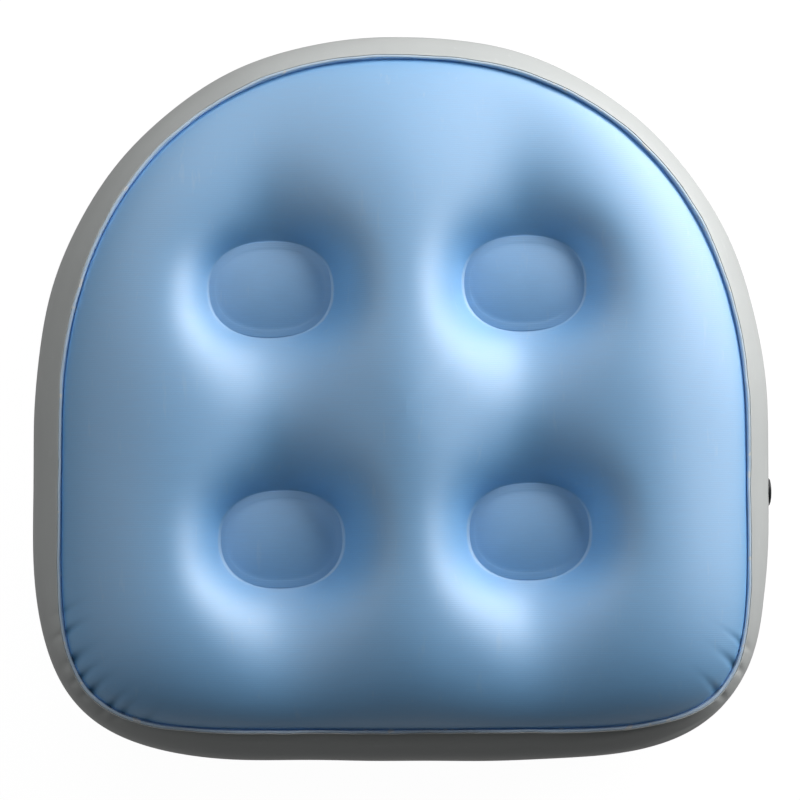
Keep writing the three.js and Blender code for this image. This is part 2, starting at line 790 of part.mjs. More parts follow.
const cushion = new THREE.Group();
cushion.add(buildShell(), buildTies(), buildFeet(), buildValve());
cushion.add(piece('valve_collar', valveCollar(), materials.darkVinyl));

export default cushion;
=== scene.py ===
"""Inflatable hot-tub cushion: the finished surfaces of its sheets, patches, feet and valve, and its studio.

Lengths are in metres, +Z up and +Y towards the arched back, as in the frame that is loaded here.
"""
import math
from collections import namedtuple

import bpy
import numpy as np
from bpy.props import FloatProperty, FloatVectorProperty, PointerProperty
from mathutils import Matrix, Vector


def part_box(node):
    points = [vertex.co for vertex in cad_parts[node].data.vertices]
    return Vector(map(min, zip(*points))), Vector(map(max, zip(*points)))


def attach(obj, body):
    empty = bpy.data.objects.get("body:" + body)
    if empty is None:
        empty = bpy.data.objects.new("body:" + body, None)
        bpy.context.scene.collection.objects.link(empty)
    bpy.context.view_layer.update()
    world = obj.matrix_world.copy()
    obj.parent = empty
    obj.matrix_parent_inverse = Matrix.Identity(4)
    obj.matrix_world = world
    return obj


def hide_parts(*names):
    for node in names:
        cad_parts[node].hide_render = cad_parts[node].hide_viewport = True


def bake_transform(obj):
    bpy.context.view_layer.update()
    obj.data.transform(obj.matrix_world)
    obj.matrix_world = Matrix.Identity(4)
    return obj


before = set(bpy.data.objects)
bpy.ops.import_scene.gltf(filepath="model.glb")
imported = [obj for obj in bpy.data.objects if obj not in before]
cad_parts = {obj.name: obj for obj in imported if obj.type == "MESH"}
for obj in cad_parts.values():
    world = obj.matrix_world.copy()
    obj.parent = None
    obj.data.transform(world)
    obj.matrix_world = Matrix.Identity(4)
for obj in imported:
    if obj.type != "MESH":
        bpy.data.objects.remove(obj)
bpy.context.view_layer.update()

bl_info = {
    "name": "Inflatable cushion",
    "version": (1, 0, 0),
    "blender": (4, 5, 0),
    "location": "3D View > Sidebar > Cushion",
    "description": "Builds the finished surfaces of an inflatable hot-tub cushion round its frame",
    "category": "Add Mesh",
}

MM = 0.001
CORNERS = ("back_right", "back_left", "front_left", "front_right")
CUSHION = "cushion"

# Shape numbers without a unit: the powers of the outlines, of the bottom's pulls, of the lip's lean and of
# the trough's ends
SEAM_POWERS = (2.24, 6.0)
GIRTH_POWERS = (2.19, 4.3)
OVAL_POWERS = (2.3, 2.3)
ROUND_POWERS = (2.0, 2.0)
BOTTOM_PULL_POWER = 2.0
LIP_LEAN_POWER = 1.3
TROUGH_END_POWER = 12

# Rise of the rounded edge of a lip, on a sheet and on the side wall
SHEET_CAP = 0.18 * MM
WALL_CAP = 0.15 * MM

# How far in from the seam's line the foot of a lip reaches, in thicknesses of the sheet
LIP_FOOT_SHEETS = 1.3

# How far the edges of the sockets, the stem and the plug are rounded
EDGE_ROUND = 0.35 * MM

# How far a patch's base lies in the weld gap under it
PATCH_SINK = 0.12 * MM

# Where the side wall's lip starts outside the seam's line, as a share of the weld gap
LIP_GAP_SHARE = 0.6

# How much of a front fold's depth the faint pleats have that run all round the wall, how far the folds and
# pleats reach down it from a seam, and how near to the seam they start, in shares of its half height
PLEAT_SHARE = 0.12
PLEAT_REACH = 0.16
PLEAT_START = 0.04

# The stretch of the wall that has the long folds, and how wide the still stretch beside the valve is
STREAK_PLACE = math.radians(322)
STREAK_WIDTH = math.radians(17)
STILL_WIDTH = math.radians(9)

# How strong the shade painted into a fold is for its share of the full depth
FOLD_SHADE = 1.6

# How finely each surface is divided
RIM_STEPS = 200
SPOKE_STEPS = 36
PANEL_ROWS = 48
UNDERSIDE_EVERY = 6
WALL_ROWS = 44
WALL_INSIDE_ROWS = 8
TURN_STEPS = 96
OVAL_STEPS = 160
ROUND_STEPS = 4
DOME_STEPS = 14
CUP_STEPS = 15
GRIP_STEPS = 48
STRAP_STEPS = 24
LIP_ROWS = 6
WALL_LIP_ROWS = 5

# Shares: the rings inside a tie's oval, the two rows on a lip's edge, and how low the wall's lip is drawn
OVAL_SHARES = (0.0, 0.5, 0.85)
RIDGE_SHARES = (0.3, 0.7)
WALL_LIP_FOOT_SHARE = 0.15

# Creases sharper than these angles stay crisp
SHARP_DEGREES = 42
SHARP_CUP_DEGREES = 35
SHARP_SOFT_DEGREES = 60

Outline = namedtuple("Outline", "half back front powers")
Pull = namedtuple("Pull", "share across along power")
Hold = namedtuple("Hold", "x y turn oval rise pulls")
Crown = namedtuple("Crown", "rise back side front back_rim front_rim trough")
Panel = namedtuple("Panel", "sign seam crown holds")

# The powers of a sheet's crown at the back, the sides and the front, and of its rim at back and front
TOP_CROWN = (2.6, 2.8, 5.0, 0.72, 0.55)
BOTTOM_CROWN = (3.2, 3.2, 3.2, 0.57, 0.57)

# How a tie draws the top sheet in: steeply beside it, and gently along its column
TOP_PULLS = (Pull(0.55, 33 * MM, 70 * MM, 3.0), Pull(0.45, 60 * MM, 200 * MM, 2.3))


def millimetres(name, description, size):
    """A length property whose default is given in millimetres."""
    return FloatProperty(name=name, description=description, default=size * MM, min=0.0, precision=5,
                         unit="LENGTH", subtype="DISTANCE")


def angle_property(name, description, degrees):
    return FloatProperty(name=name, description=description, default=math.radians(degrees), subtype="ANGLE")


def colour(name, description, values):
    return FloatVectorProperty(name=name, description=description, default=values, min=0.0, max=1.0,
                               size=3, subtype="COLOR")


def lamp_power(name, description, watts):
    return FloatProperty(name=name, description=description, default=watts, min=0.0, unit="POWER")


def lamp_size(name, description, width):
    return FloatProperty(name=name, description=description, default=width, min=0.01, unit="LENGTH")


def place_property(name, description, place):
    return FloatVectorProperty(name=name, description=description, default=place, size=3,
                               subtype="TRANSLATION", unit="LENGTH", precision=4)


class CushionSizes(bpy.types.PropertyGroup):
    """Sizes of the sheets, the weld and the folds."""
    sheet: millimetres("Sheet", "Thickness of the vinyl sheets", 1.0)
    weld_gap: millimetres("Weld gap", "Gap between two welded sheets", 0.3)
    seam_fin: millimetres("Weld lip", "Height of the weld lip in the frame", 3.5)
    widest_line: FloatProperty(name="Widest line", description="Where the outline is widest, along Y",
                               default=-21.3 * MM, unit="LENGTH", precision=5)
    fin_height: millimetres("Lip height", "Height of the weld lip as it stands", 3.1)
    fin_out: millimetres("Lip lean", "How far the lip leans outwards at its edge", 0.7)
    fin_edge: millimetres("Lip edge", "Thickness of the blue sheet at the edge of the lip", 1.2)
    wall_edge: millimetres("Wall's lip edge", "Thickness of the side wall at the edge of the lip", 0.4)
    fin_wave: millimetres("Lip wave", "How far the lip wanders in and out", 0.3)
    tie_turn: angle_property("Tie turn", "How far the pattern of ties lies turned", 1.87)
    patch_margin: millimetres("Patch margin", "From a patch's edge to the fold of the sheet round it", 0.4)
    crown: millimetres("Crown", "Rise of the top sheet past its seam", 32.0)
    bottom_crown: millimetres("Bottom crown", "Rise of the bottom sheet past its seam", 7.0)
    trough: millimetres("Trough", "Depth of the shallow trough that joins the ties of a column", 2.0)
    trough_width: millimetres("Trough width", "Half width of that trough", 43.0)
    bottom_pull: millimetres("Bottom pull", "How far a tie draws the bottom sheet in", 36.0)
    land_radius: millimetres("Foot land", "Radius of the flat that carries a foot", 17.0)
    land_pull: millimetres("Land pull", "How far the flat of a foot reaches into the sheet", 14.0)
    crease: millimetres("Crease", "Softness of the fold beside a tie", 1.0)
    pucker: millimetres("Pucker depth", "Depth of the folds at the front corners", 3.0)
    pucker_reach: millimetres("Pucker length", "How far the folds run into the sheet", 4.2)
    wall_wave: millimetres("Wall wave", "Slow waves of the side wall", 0.7)
    streak: millimetres("Streak depth", "Depth of the long folds in the side wall", 0.45)
    side_swell: millimetres("Side swell", "How far the side wall swells past the seam", 16.1)
    valve_mouth: millimetres("Valve mouth", "Radius of the hole for the valve", 9.0)


class CushionColours(bpy.types.PropertyGroup):
    """Base colours of the finishes."""
    fabric: colour("Fabric", "Blue satin fabric of the top", (0.06, 0.45, 0.97))
    patch: colour("Patch fabric", "Blue fabric of the tuft patches", (0.14, 0.48, 0.97))
    vinyl: colour("Vinyl", "Grey vinyl of the side wall and bottom", (0.64, 0.66, 0.65))
    inner: colour("Inner vinyl", "Plain vinyl of the ties", (0.52, 0.56, 0.56))
    clear: colour("Clear vinyl", "Clear vinyl of the feet", (0.80, 0.86, 0.88))
    valve: colour("Valve vinyl", "Dark vinyl of the valve", (0.030, 0.032, 0.036))


class CushionStudio(bpy.types.PropertyGroup):
    """Light, floor and camera."""
    key_power: lamp_power("Key power", "Power of the main lamp, low on the right", 17.2)
    key_size: lamp_size("Key size", "Width of the main lamp", 1.50)
    key_height: lamp_size("Key height", "Height of the main lamp", 0.70)
    key_place: place_property("Key place", "Place of the main lamp", (0.913, 0.714, 0.530))
    back_power: lamp_power("Back power", "Power of the lamp behind the arched back", 3.2)
    back_size: lamp_size("Back size", "Width of the lamp behind the back", 0.90)
    back_height: lamp_size("Back height", "Height of the lamp behind the back", 0.60)
    back_place: place_property("Back place", "Place of the lamp behind the back", (-0.405, 0.868, 0.853))
    fill_power: lamp_power("Fill power", "Power of the weak lamp on the left", 1.5)
    fill_size: lamp_size("Fill size", "Width of the weak lamp", 1.0)
    fill_height: lamp_size("Fill height", "Height of the weak lamp", 0.70)
    fill_place: place_property("Fill place", "Place of the weak lamp", (-0.770, 0.0, 1.035))
    world: FloatProperty(name="World", description="Strength of the light from all round", default=0.03)
    floor_tone: FloatProperty(name="Floor tone", description="Grey of the floor where light meets it",
                              default=0.10)
    floor_glow: FloatProperty(name="Floor glow", description="Share of white that the floor always shows",
                              default=0.975)
    backdrop: FloatProperty(name="Backdrop", description="Sine of the height that the white backdrop has "
                            "in reflections", default=0.10)
    mirrored: FloatProperty(name="Mirrored", default=0.35,
                            description="Share of the white background that reflections see")
    lens: FloatProperty(name="Lens", description="Focal length in millimetres", default=114.96)
    eye: place_property("Eye", "Place of the camera", (-0.0960, -0.1008, 1.4405))
    target: place_property("Target", "Point that the camera looks at", (-0.00185, -0.00199, 0.04645))


def middle_of(node):
    low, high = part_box(node)
    return (low + high) / 2


def outlines(sizes):
    """The seam's and the girth's plan outline, from the boxes of the top sheet and the side wall."""
    low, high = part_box("top_panel")
    seam = Outline(high.x, high.y - sizes.widest_line, sizes.widest_line - low.y, SEAM_POWERS)
    low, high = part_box("side_band")
    girth = Outline(-low.x, high.y - sizes.widest_line, sizes.widest_line - low.y, GIRTH_POWERS)
    return seam, girth


def point_at(radius, angle, centre=(0, 0)):
    """The plan point at a polar angle and distance from a centre."""
    return np.stack([centre[0] + radius * np.cos(angle), centre[1] + radius * np.sin(angle)], axis=-1)


def reach(outline, angle, spread=0.0):
    """Distance from an outline's middle to its edge at a polar angle.

    Each half is a superellipse: (|cos|/half)^n + (|sin|/depth)^n, all to the power -1/n."""
    rear = np.sin(angle) >= 0
    power = np.where(rear, outline.powers[0], outline.powers[1])
    depth = np.where(rear, outline.back, outline.front)
    across = np.abs(np.cos(angle)) / (outline.half + spread)
    along = np.abs(np.sin(angle)) / (depth + spread)
    return (across ** power + along ** power) ** (-1 / power)


def rim_point(sizes, outline, angle, spread=0.0):
    return point_at(reach(outline, angle, spread), angle, (0, sizes.widest_line))


def at_height(plan, height):
    """The points of a plan at one height, or each at its own."""
    return np.concatenate([plan, np.broadcast_to(height, plan.shape[:-1])[..., None]], axis=-1)


def ring(radius, angle, height):
    """Points round the Z axis."""
    return at_height(point_at(radius, angle), height)


def full_turn(steps):
    return np.linspace(0, 2 * math.pi, steps, endpoint=False)


def polar(sizes, x, y):
    """Polar angle and distance of places about the middle of the outlines."""
    return np.arctan2(y - sizes.widest_line, x), np.hypot(x, y - sizes.widest_line)


def waves(angle, table):
    """A slow wave round the rim: the sum of amount times sin(count times angle + phase)."""
    return sum(amount * np.sin(count * angle + phase) for amount, count, phase in table)


FIN_WAVES = ((0.5, 11, 0.4), (0.35, 19, 2.1), (0.3, 37, 4.4), (0.2, 61, 1.3))
HEIGHT_WAVES = ((0.5, 7, 1.9), (0.3, 23, 0.2), (0.2, 47, 3.1))
WALL_WAVES = ((0.5, 5, 0.7), (0.4, 9, 2.6), (0.25, 17, 5.0))
PLEAT_COUNT = 118
PLEAT_DRIFTS = ((2.3, 9, 0.3), (1.6, 23, 1.7), (0.9, 41, 4.0))

# The folded front corners: where each lies round the rim, and how wide the stretch is whose points lie
# closer together
FRONT_CORNERS = ((math.radians(217), math.radians(10)), (math.radians(324), math.radians(8)))

# The folds at the front corners: where each crosses the rim and how wide it is in degrees, and how deep
FRONT_FOLDS = ((207.6, 0.5, 0.4), (210.5, 0.5, 0.8), (214.4, 0.7, 1.0), (217.0, 0.5, 0.8),
               (219.4, 0.6, 1.0), (222.7, 0.5, 0.9), (224.6, 0.5, 0.7), (227.9, 0.6, 0.4),
               (320.2, 0.6, 0.8), (324.7, 0.6, 1.0), (327.9, 0.5, 0.6))


def bump(x):
    """A round hill of height 1 that falls off on both sides: exp(-x squared)."""
    return np.exp(-x * x)


def corner_share(angle):
    """How much a place round the rim belongs to a folded front corner, from 0 to 1."""
    return sum(bump((angle % (2 * math.pi) - place) / width) for place, width in FRONT_CORNERS)


def folds(angle):
    """The folds across the rim at the front corners: the sum of depth times exp(-(x / width) squared)."""
    turn = np.degrees(angle) % 360
    return sum(depth * bump((turn - place) / width) for place, width, depth in FRONT_FOLDS)


def pleats(angle):
    """Narrow valleys round the rim, 0 on the ridges and up to 1 in the valleys: (1 - |sin|) squared,
    of an angle that drifts, times a wave that makes some of them shallow."""
    phase = PLEAT_COUNT * angle / 2 + waves(angle, PLEAT_DRIFTS)
    uneven = 0.62 + 0.38 * np.sin(31 * angle + 1.1 * np.sin(13 * angle))
    return (1 - np.abs(np.sin(phase))) ** 2 * uneven


def rim_angles():
    """Polar angles round the rim in four equal lists, closer together in the folded corners."""
    fine = np.linspace(0, 2 * math.pi, 4 * RIM_STEPS * 4 + 1)
    lists = []
    for quarter in range(4):
        piece = fine[quarter * RIM_STEPS * 4:(quarter + 1) * RIM_STEPS * 4 + 1]
        density = 1 + 2.6 * np.minimum(corner_share(piece), 1)
        run = np.concatenate([[0], np.cumsum((density[1:] + density[:-1]) / 2)])
        lists.append(np.interp(np.linspace(0, run[-1], RIM_STEPS + 1), run, piece))
    return lists


def in_hold(hold, x, y):
    """Polar angle about a held place in its own turned axes, and the distance outside its oval."""
    c, s = math.cos(hold.turn), math.sin(hold.turn)
    u = c * (x - hold.x) + s * (y - hold.y)
    v = -s * (x - hold.x) + c * (y - hold.y)
    angle = np.arctan2(v, u)
    return angle, np.hypot(u, v) - reach(hold.oval, angle)


def hold_edge(hold, x, y):
    """The point of a held oval that lies towards (x, y)."""
    angle, _ = in_hold(hold, x, y)
    return point_at(reach(hold.oval, angle), angle + hold.turn, (hold.x, hold.y))


def panel_rise(sizes, seam, panel, x, y, spread):
    """Rise of a sheet past its seam: crown times (1 - share^power)^rim, where share is the distance from the
    middle over the distance to the edge, and both powers pass from the arched back over the sides to the
    front. A trough exp(-(x / width)^2) lies along each column of ties. Each held oval then draws the sheet
    to its own height, by a sum of (1 - outside / reach)^power whose reach runs round an ellipse."""
    angle, distance = polar(sizes, x, y)
    edge = reach(seam, angle, spread)
    share = np.clip(distance / edge, 0, 1)
    crown = panel.crown
    ahead = np.clip(0.5 - 0.8 * np.sin(angle), 0, 1)
    ahead = ahead * ahead * (3 - 2 * ahead)
    beside = np.abs(np.cos(angle)) ** 3
    power = (crown.back + (crown.front - crown.back) * ahead) * (1 - beside) + crown.side * beside
    rim = crown.back_rim + (crown.front_rim - crown.back_rim) * ahead
    rise = crown.rise * np.clip(1 - share ** power, 0, 1) ** rim
    for back, front in (panel.holds[0], panel.holds[3]), (panel.holds[1], panel.holds[2]):
        column = front.x + (back.x - front.x) * np.clip((y - front.y) / (back.y - front.y), -0.5, 1.5)
        trough = crown.trough * bump((x - column) / sizes.trough_width)
        rise = rise - trough * (1 - share ** TROUGH_END_POWER)
    for hold in panel.holds:
        turn, outside = in_hold(hold, x, y)
        soft = (outside + np.sqrt(outside ** 2 + sizes.crease ** 2)) / 2
        drawn = 0
        for pull in hold.pulls:
            pull_reach = 1 / np.hypot(np.cos(turn) / pull.across, np.sin(turn) / pull.along)
            drawn = drawn + pull.share * np.clip(1 - soft / pull_reach, 0, 1) ** pull.power
        rise = rise + (hold.rise - rise) * drawn
    inside = edge - distance
    fade = np.exp(-np.clip(inside, 0, None) / sizes.pucker_reach) * np.clip(inside / (2 * MM), 0, 1)
    return rise - sizes.pucker * folds(angle) * fade


def cell_loop(sizes, seam, middle, angles, spread):
    """The line round one tie's share of a sheet: out along a spoke, along the rim and back in."""
    rim = rim_point(sizes, seam, angles, spread)
    shares = np.sin(np.linspace(0, math.pi / 2, SPOKE_STEPS + 1)[:-1])[:, None]
    out = middle + (rim[0] - middle) * shares
    back = middle + (rim[-1] - middle) * shares
    return np.concatenate([out, rim, back[:0:-1]])


def side_rows(sizes, seam, panel, hold, loop, shares, spread, drop):
    """One side of a sheet round a tie: rings from the middle of its oval out to the loop."""
    edge = hold_edge(hold, loop[:, 0], loop[:, 1])
    centre = np.array([hold.x, hold.y])
    inner = [centre + (edge - centre) * share for share in OVAL_SHARES]
    outer = [edge + (loop - edge) * share for share in shares]
    plan = np.stack(inner + outer)
    rise = panel_rise(sizes, seam, panel, plan[..., 0], plan[..., 1], spread)
    return at_height(plan, panel.seam + panel.sign * (rise - drop))


def grid_faces(rows, columns, wrap, start=0):
    """Quads of a grid of points, numbered row by row, whose columns may close into a ring."""
    last = columns if wrap else columns - 1
    j, i = np.meshgrid(np.arange(rows - 1), np.arange(last), indexing="ij")
    following = (i + 1) % columns
    quads = np.stack([j * columns + i, (j + 1) * columns + i, (j + 1) * columns + following,
                      j * columns + following], axis=-1)
    return start + quads.reshape(-1, 4)


def shade(mesh, sharp_degrees):
    """Smooth shading but for the creases that are sharper than an angle."""
    mesh.polygons.foreach_set("use_smooth", np.ones(len(mesh.polygons), dtype=bool))
    mesh.set_sharp_from_angle(angle=math.radians(sharp_degrees))
    return mesh


def make_mesh(name, grids, sharp_degrees=SHARP_DEGREES):
    """A mesh from grids of (points, wrap, flipped), with points that lie together made one.

    Quads that close to a triangle at a pole are kept as triangles, and ones with no width left out."""
    points, quads, count = [], [], 0
    for grid, wrap, flipped in grids:
        faces = grid_faces(grid.shape[0], grid.shape[1], wrap, count)
        quads.append(faces[:, ::-1] if flipped else faces)
        points.append(grid.reshape(-1, 3))
        count += grid.shape[0] * grid.shape[1]
    points, quads = np.concatenate(points), np.concatenate(quads)
    _, first, number = np.unique(np.round(points / (0.002 * MM)).astype(np.int64), axis=0,
                                 return_index=True, return_inverse=True)
    points, quads = points[first], number.reshape(-1)[quads]
    same = quads == np.roll(quads, -1, axis=1)
    whole = quads[~same.any(axis=1)]
    whole = whole[(whole[:, 0] != whole[:, 2]) & (whole[:, 1] != whole[:, 3])]
    thin = quads[same.sum(axis=1) == 1]
    keep = ~same[same.sum(axis=1) == 1]
    triangles = thin[keep].reshape(-1, 3)
    mesh = bpy.data.meshes.new(name)
    mesh.from_pydata(points.tolist(), [], whole.tolist() + triangles.tolist())
    shade(mesh, sharp_degrees)
    mesh.update()
    return mesh


def linked(name, data):
    """A new object in the scene."""
    made = bpy.data.objects.new(name, data)
    bpy.context.scene.collection.objects.link(made)
    return made


def add_piece(name, mesh, material, body, slot, *nodes):
    """A piece from a finished mesh: it rides on its body, stands for its nodes and has its finish."""
    piece = linked(name, mesh)
    mesh.materials.clear()
    mesh.materials.append(material)
    if body:
        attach(piece, body)
    if nodes:
        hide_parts(*nodes)
    return piece


def point_attribute(mesh, name, values):
    """A number at each point of a mesh, which its material reads."""
    attribute = mesh.attributes.new(name, "FLOAT", "POINT")
    attribute.data.foreach_set("value", values.astype(np.float32))


def mesh_points(mesh):
    points = np.empty(len(mesh.vertices) * 3, dtype=np.float32)
    mesh.vertices.foreach_get("co", points)
    return points.reshape(-1, 3).astype(float)


def fin_offsets(sizes, angle):
    """How far the lip's edge leans out and how high it stands, at each place round the rim."""
    out = sizes.fin_out + sizes.fin_wave * waves(angle, FIN_WAVES)
    high = sizes.fin_height + sizes.fin_wave * waves(angle, HEIGHT_WAVES)
    return out, high


def fin_rows(sizes, seam, angle, spreads, seam_height, sign, shares):
    """A face of a weld lip at shares of its height. It leans out by share^LIP_LEAN_POWER, and lies off the
    seam's line by the first of two spreads at its foot and by the second at its edge."""
    out, high = fin_offsets(sizes, angle)
    foot, edge = spreads
    rows = []
    for share in shares:
        spread = out * share ** LIP_LEAN_POWER + foot * (1 - share) + edge * share
        rows.append(at_height(rim_point(sizes, seam, angle, spread), seam_height + sign * high * share))
    return rows


def ridge_rows(sizes, seam, angle, spread, width, cap, seam_height, sign):
    """The rounded edge of a weld lip: two rows between its faces, which stand a cap above them."""
    out, high = fin_offsets(sizes, angle)
    return [at_height(rim_point(sizes, seam, angle, out + spread + width * share),
                      seam_height + sign * (high + cap)) for share in RIDGE_SHARES]


def sheet_panel(sizes, seam, panel, middle):
    """A welded sheet: its two sides in four cells, one round each tie, and its upstanding lip."""
    shares = 0.5 - 0.5 * np.cos(np.linspace(0, math.pi, PANEL_ROWS))
    flipped = panel.sign < 0
    coarse = np.append(shares[:-1:UNDERSIDE_EVERY], 1.0)
    inset = -2 * sizes.sheet
    side = panel.seam, panel.sign
    up = np.linspace(0, 1, LIP_ROWS)
    low = panel.seam - panel.sign * sizes.sheet
    grids = []
    for hold, angles in zip(panel.holds, rim_angles()):
        loop = cell_loop(sizes, seam, middle, angles, -sizes.sheet)
        outside = side_rows(sizes, seam, panel, hold, loop, shares, -sizes.sheet, 0.0)
        grids.append((outside, True, flipped))
        loop = cell_loop(sizes, seam, middle, angles, inset)
        inside = side_rows(sizes, seam, panel, hold, loop, coarse, inset, sizes.sheet)
        grids.append((inside, True, not flipped))
        inner = fin_rows(sizes, seam, angles, (-sizes.sheet, -sizes.fin_edge), *side, up)
        ridge = ridge_rows(sizes, seam, angles, -sizes.fin_edge, sizes.fin_edge, SHEET_CAP, *side)
        down = fin_rows(sizes, seam, angles, (0.0, 0.0), *side, up[::-1])
        foot = [at_height(rim_point(sizes, seam, angles, spread), low) for spread in (0.0, inset)]
        grids.append((np.stack(inner + ridge + down + foot), False, flipped))
    return grids


def tie_holds(sizes, sign):
    """The four ties as held ovals, from the boxes of their patches, with the height of each sheet there."""
    holds = []
    for corner in CORNERS:
        low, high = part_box(f"tuft_patch_{corner}")
        half = (high - low) / 2 + Vector((sizes.patch_margin, sizes.patch_margin, 0))
        oval = Outline(half.x, half.y, half.y, OVAL_POWERS)
        centre = (low + high) / 2
        if sign > 0:
            rise = low.z - sizes.weld_gap - top_seam(sizes)
            pulls = TOP_PULLS
        else:
            rise = bottom_seam(sizes) - (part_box("bottom_panel")[1].z - sizes.sheet)
            pulls = (Pull(1.0, sizes.bottom_pull, sizes.bottom_pull, BOTTOM_PULL_POWER),)
        holds.append(Hold(centre.x, centre.y, sizes.tie_turn, oval, rise, pulls))
    return holds


def land_holds(sizes):
    """The round flats under the bottom sheet that carry the feet."""
    oval = Outline(sizes.land_radius, sizes.land_radius, sizes.land_radius, ROUND_POWERS)
    places = [middle_of(f"cup_socket_{corner}") for corner in CORNERS]
    pulls = (Pull(1.0, sizes.land_pull, sizes.land_pull, BOTTOM_PULL_POWER),)
    return [Hold(p.x, p.y, 0.0, oval, sizes.bottom_crown, pulls) for p in places]


def top_seam(sizes):
    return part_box("side_band")[1].z - sizes.seam_fin


def bottom_seam(sizes):
    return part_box("side_band")[0].z + sizes.seam_fin


def tie_middle(holds):
    """The point between the four ties where the cells of a sheet meet."""
    return np.array([sum(hold.x for hold in holds), sum(hold.y for hold in holds)]) / len(holds)


def wall_wave(sizes, angle, lean):
    """How far the side wall strays from its formula: slow waves, pleats and folds down from both seams,
    and long folds at the right front. It is still beside the valve and along the seams."""
    slow = waves(angle, WALL_WAVES) * sizes.wall_wave * (1 - lean ** 2)
    inside = 1 - np.abs(lean)
    edge = np.exp(-inside / PLEAT_REACH) * np.clip(inside / PLEAT_START, 0, 1)
    pleat = -sizes.pucker * (PLEAT_SHARE * pleats(angle) + folds(angle)) * edge
    front = bump((angle % (2 * math.pi) - STREAK_PLACE) / STREAK_WIDTH)
    ripples = np.sin(9.5 * lean + 7 * angle) + 0.6 * np.sin(15 * lean - 13 * angle + 1.0)
    streaks = sizes.streak * front * ripples * (1 - lean ** 2)
    valve = middle_of("valve_stem")
    place = math.atan2(valve.y - sizes.widest_line, valve.x) % (2 * math.pi)
    apart = (angle - place + math.pi) % (2 * math.pi) - math.pi
    return (slow + pleat + streaks) * (1 - bump(apart / STILL_WIDTH))


def wall_surface(sizes, seam, girth, angle, lean, seam_spread, girth_spread, half_height):
    """The side wall: an arc from seam to seam, carried out to the girth at its middle.

    With arc as half of its angle, share = (cos(arc lean) - cos arc) / (1 - cos arc) carries the radius
    from the seam's reach to the girth's, and the height is half_height sin(arc lean) / sin arc."""
    high, low = top_seam(sizes), bottom_seam(sizes)
    arc = 2 * math.atan(sizes.side_swell / ((high - low) / 2))
    angle, lean = angle[None, :], np.asarray(lean)[:, None]
    share = (np.cos(arc * lean) - math.cos(arc)) / (1 - math.cos(arc))
    start = reach(seam, angle, seam_spread)
    radius = start + (reach(girth, angle, girth_spread) - start) * share
    radius = radius + wall_wave(sizes, angle, lean)
    height = (high + low) / 2 + half_height * np.sin(arc * lean) / math.sin(arc)
    return at_height(point_at(radius, angle, (0, sizes.widest_line)), height)


def side_wall(sizes, seam, girth):
    """The closed ring of the side wall with its two lips, as one grid of section by place."""
    angle = np.concatenate([piece[:-1] for piece in rim_angles()])
    high, low = top_seam(sizes), bottom_seam(sizes)
    half = (high - low) / 2
    gap, sheet = sizes.weld_gap, sizes.sheet
    start = gap * LIP_GAP_SHARE
    rows = []
    for sign, seam_height in ((1, high), (-1, low)):
        inner = fin_rows(sizes, seam, angle, (start, start), seam_height, sign,
                         np.linspace(0, 1, WALL_LIP_ROWS))
        ridge = ridge_rows(sizes, seam, angle, start, sizes.wall_edge, WALL_CAP, seam_height, sign)
        outer = fin_rows(sizes, seam, angle, (start + sheet, start + sizes.wall_edge), seam_height, sign,
                         np.linspace(1, WALL_LIP_FOOT_SHARE, WALL_LIP_ROWS))
        rows.append((inner + ridge + outer)[::sign])
    lean = np.sin(np.linspace(math.pi / 2, -math.pi / 2, WALL_ROWS))
    lean = 0.5 * lean + 0.5 * np.linspace(1, -1, WALL_ROWS)
    outside = wall_surface(sizes, seam, girth, angle, lean, gap + sheet, 0.0, half)
    inner_lean = np.linspace(-1, 1, WALL_INSIDE_ROWS + 1)
    inside = wall_surface(sizes, seam, girth, angle, inner_lean, gap, -sheet, half - sheet)
    section = np.concatenate([np.stack(rows[0]), outside, np.stack(rows[1]), inside])
    return [(np.concatenate([section, section[:1]]), True, False)]


def rounded(points, radius, steps=ROUND_STEPS):
    """A profile whose inner corners are rounded: each is replaced by a short curve that starts and ends a
    radius from it, or a third of the way to its neighbours where those lie near."""
    points = [np.array(p, dtype=float) for p in points]
    line = [points[0]]
    for before, corner, after in zip(points, points[1:], points[2:]):
        start = corner + (before - corner) * min(radius / np.linalg.norm(before - corner), 1 / 3)
        end = corner + (after - corner) * min(radius / np.linalg.norm(after - corner), 1 / 3)
        t = np.linspace(0, 1, steps + 1)[:, None]
        line.extend((1 - t) ** 2 * start + 2 * t * (1 - t) * corner + t ** 2 * end)
    line.append(points[-1])
    return np.array(line)


def turned(name, profile):
    """A mesh from a profile of (radius, height) points that is turned about the Z axis."""
    grid = ring(profile[:, 0:1], full_turn(TURN_STEPS), profile[:, 1:2])
    return make_mesh(name, [(grid, True, True)])


def moved(mesh, matrix):
    mesh.transform(matrix)
    return mesh


def boolean(mesh, tool, operation, sharp_degrees=SHARP_DEGREES):
    """A mesh cut by or joined with a closed tool mesh."""
    body, other = linked("body", mesh), linked("tool", tool)
    modifier = body.modifiers.new("cut", "BOOLEAN")
    modifier.operation, modifier.object, modifier.solver = operation, other, "EXACT"
    graph = bpy.context.evaluated_depsgraph_get()
    result = bpy.data.meshes.new_from_object(body.evaluated_get(graph))
    for made in (body, other):
        bpy.data.objects.remove(made)
    return shade(result, sharp_degrees)


def add(tree, kind, settings=None, inputs=None):
    """A shader node with its settings, and its inputs set or linked by name or number."""
    made = tree.nodes.new("ShaderNode" + kind)
    for name, value in (settings or {}).items():
        setattr(made, name, value)
    for name, value in (inputs or {}).items():
        if isinstance(value, bpy.types.NodeSocket):
            tree.links.new(value, made.inputs[name])
        else:
            made.inputs[name].default_value = value
    return made


def cleared_tree(owner):
    """The node tree of a new material or world, emptied."""
    owner.use_nodes = True
    owner.node_tree.nodes.clear()
    return owner.node_tree


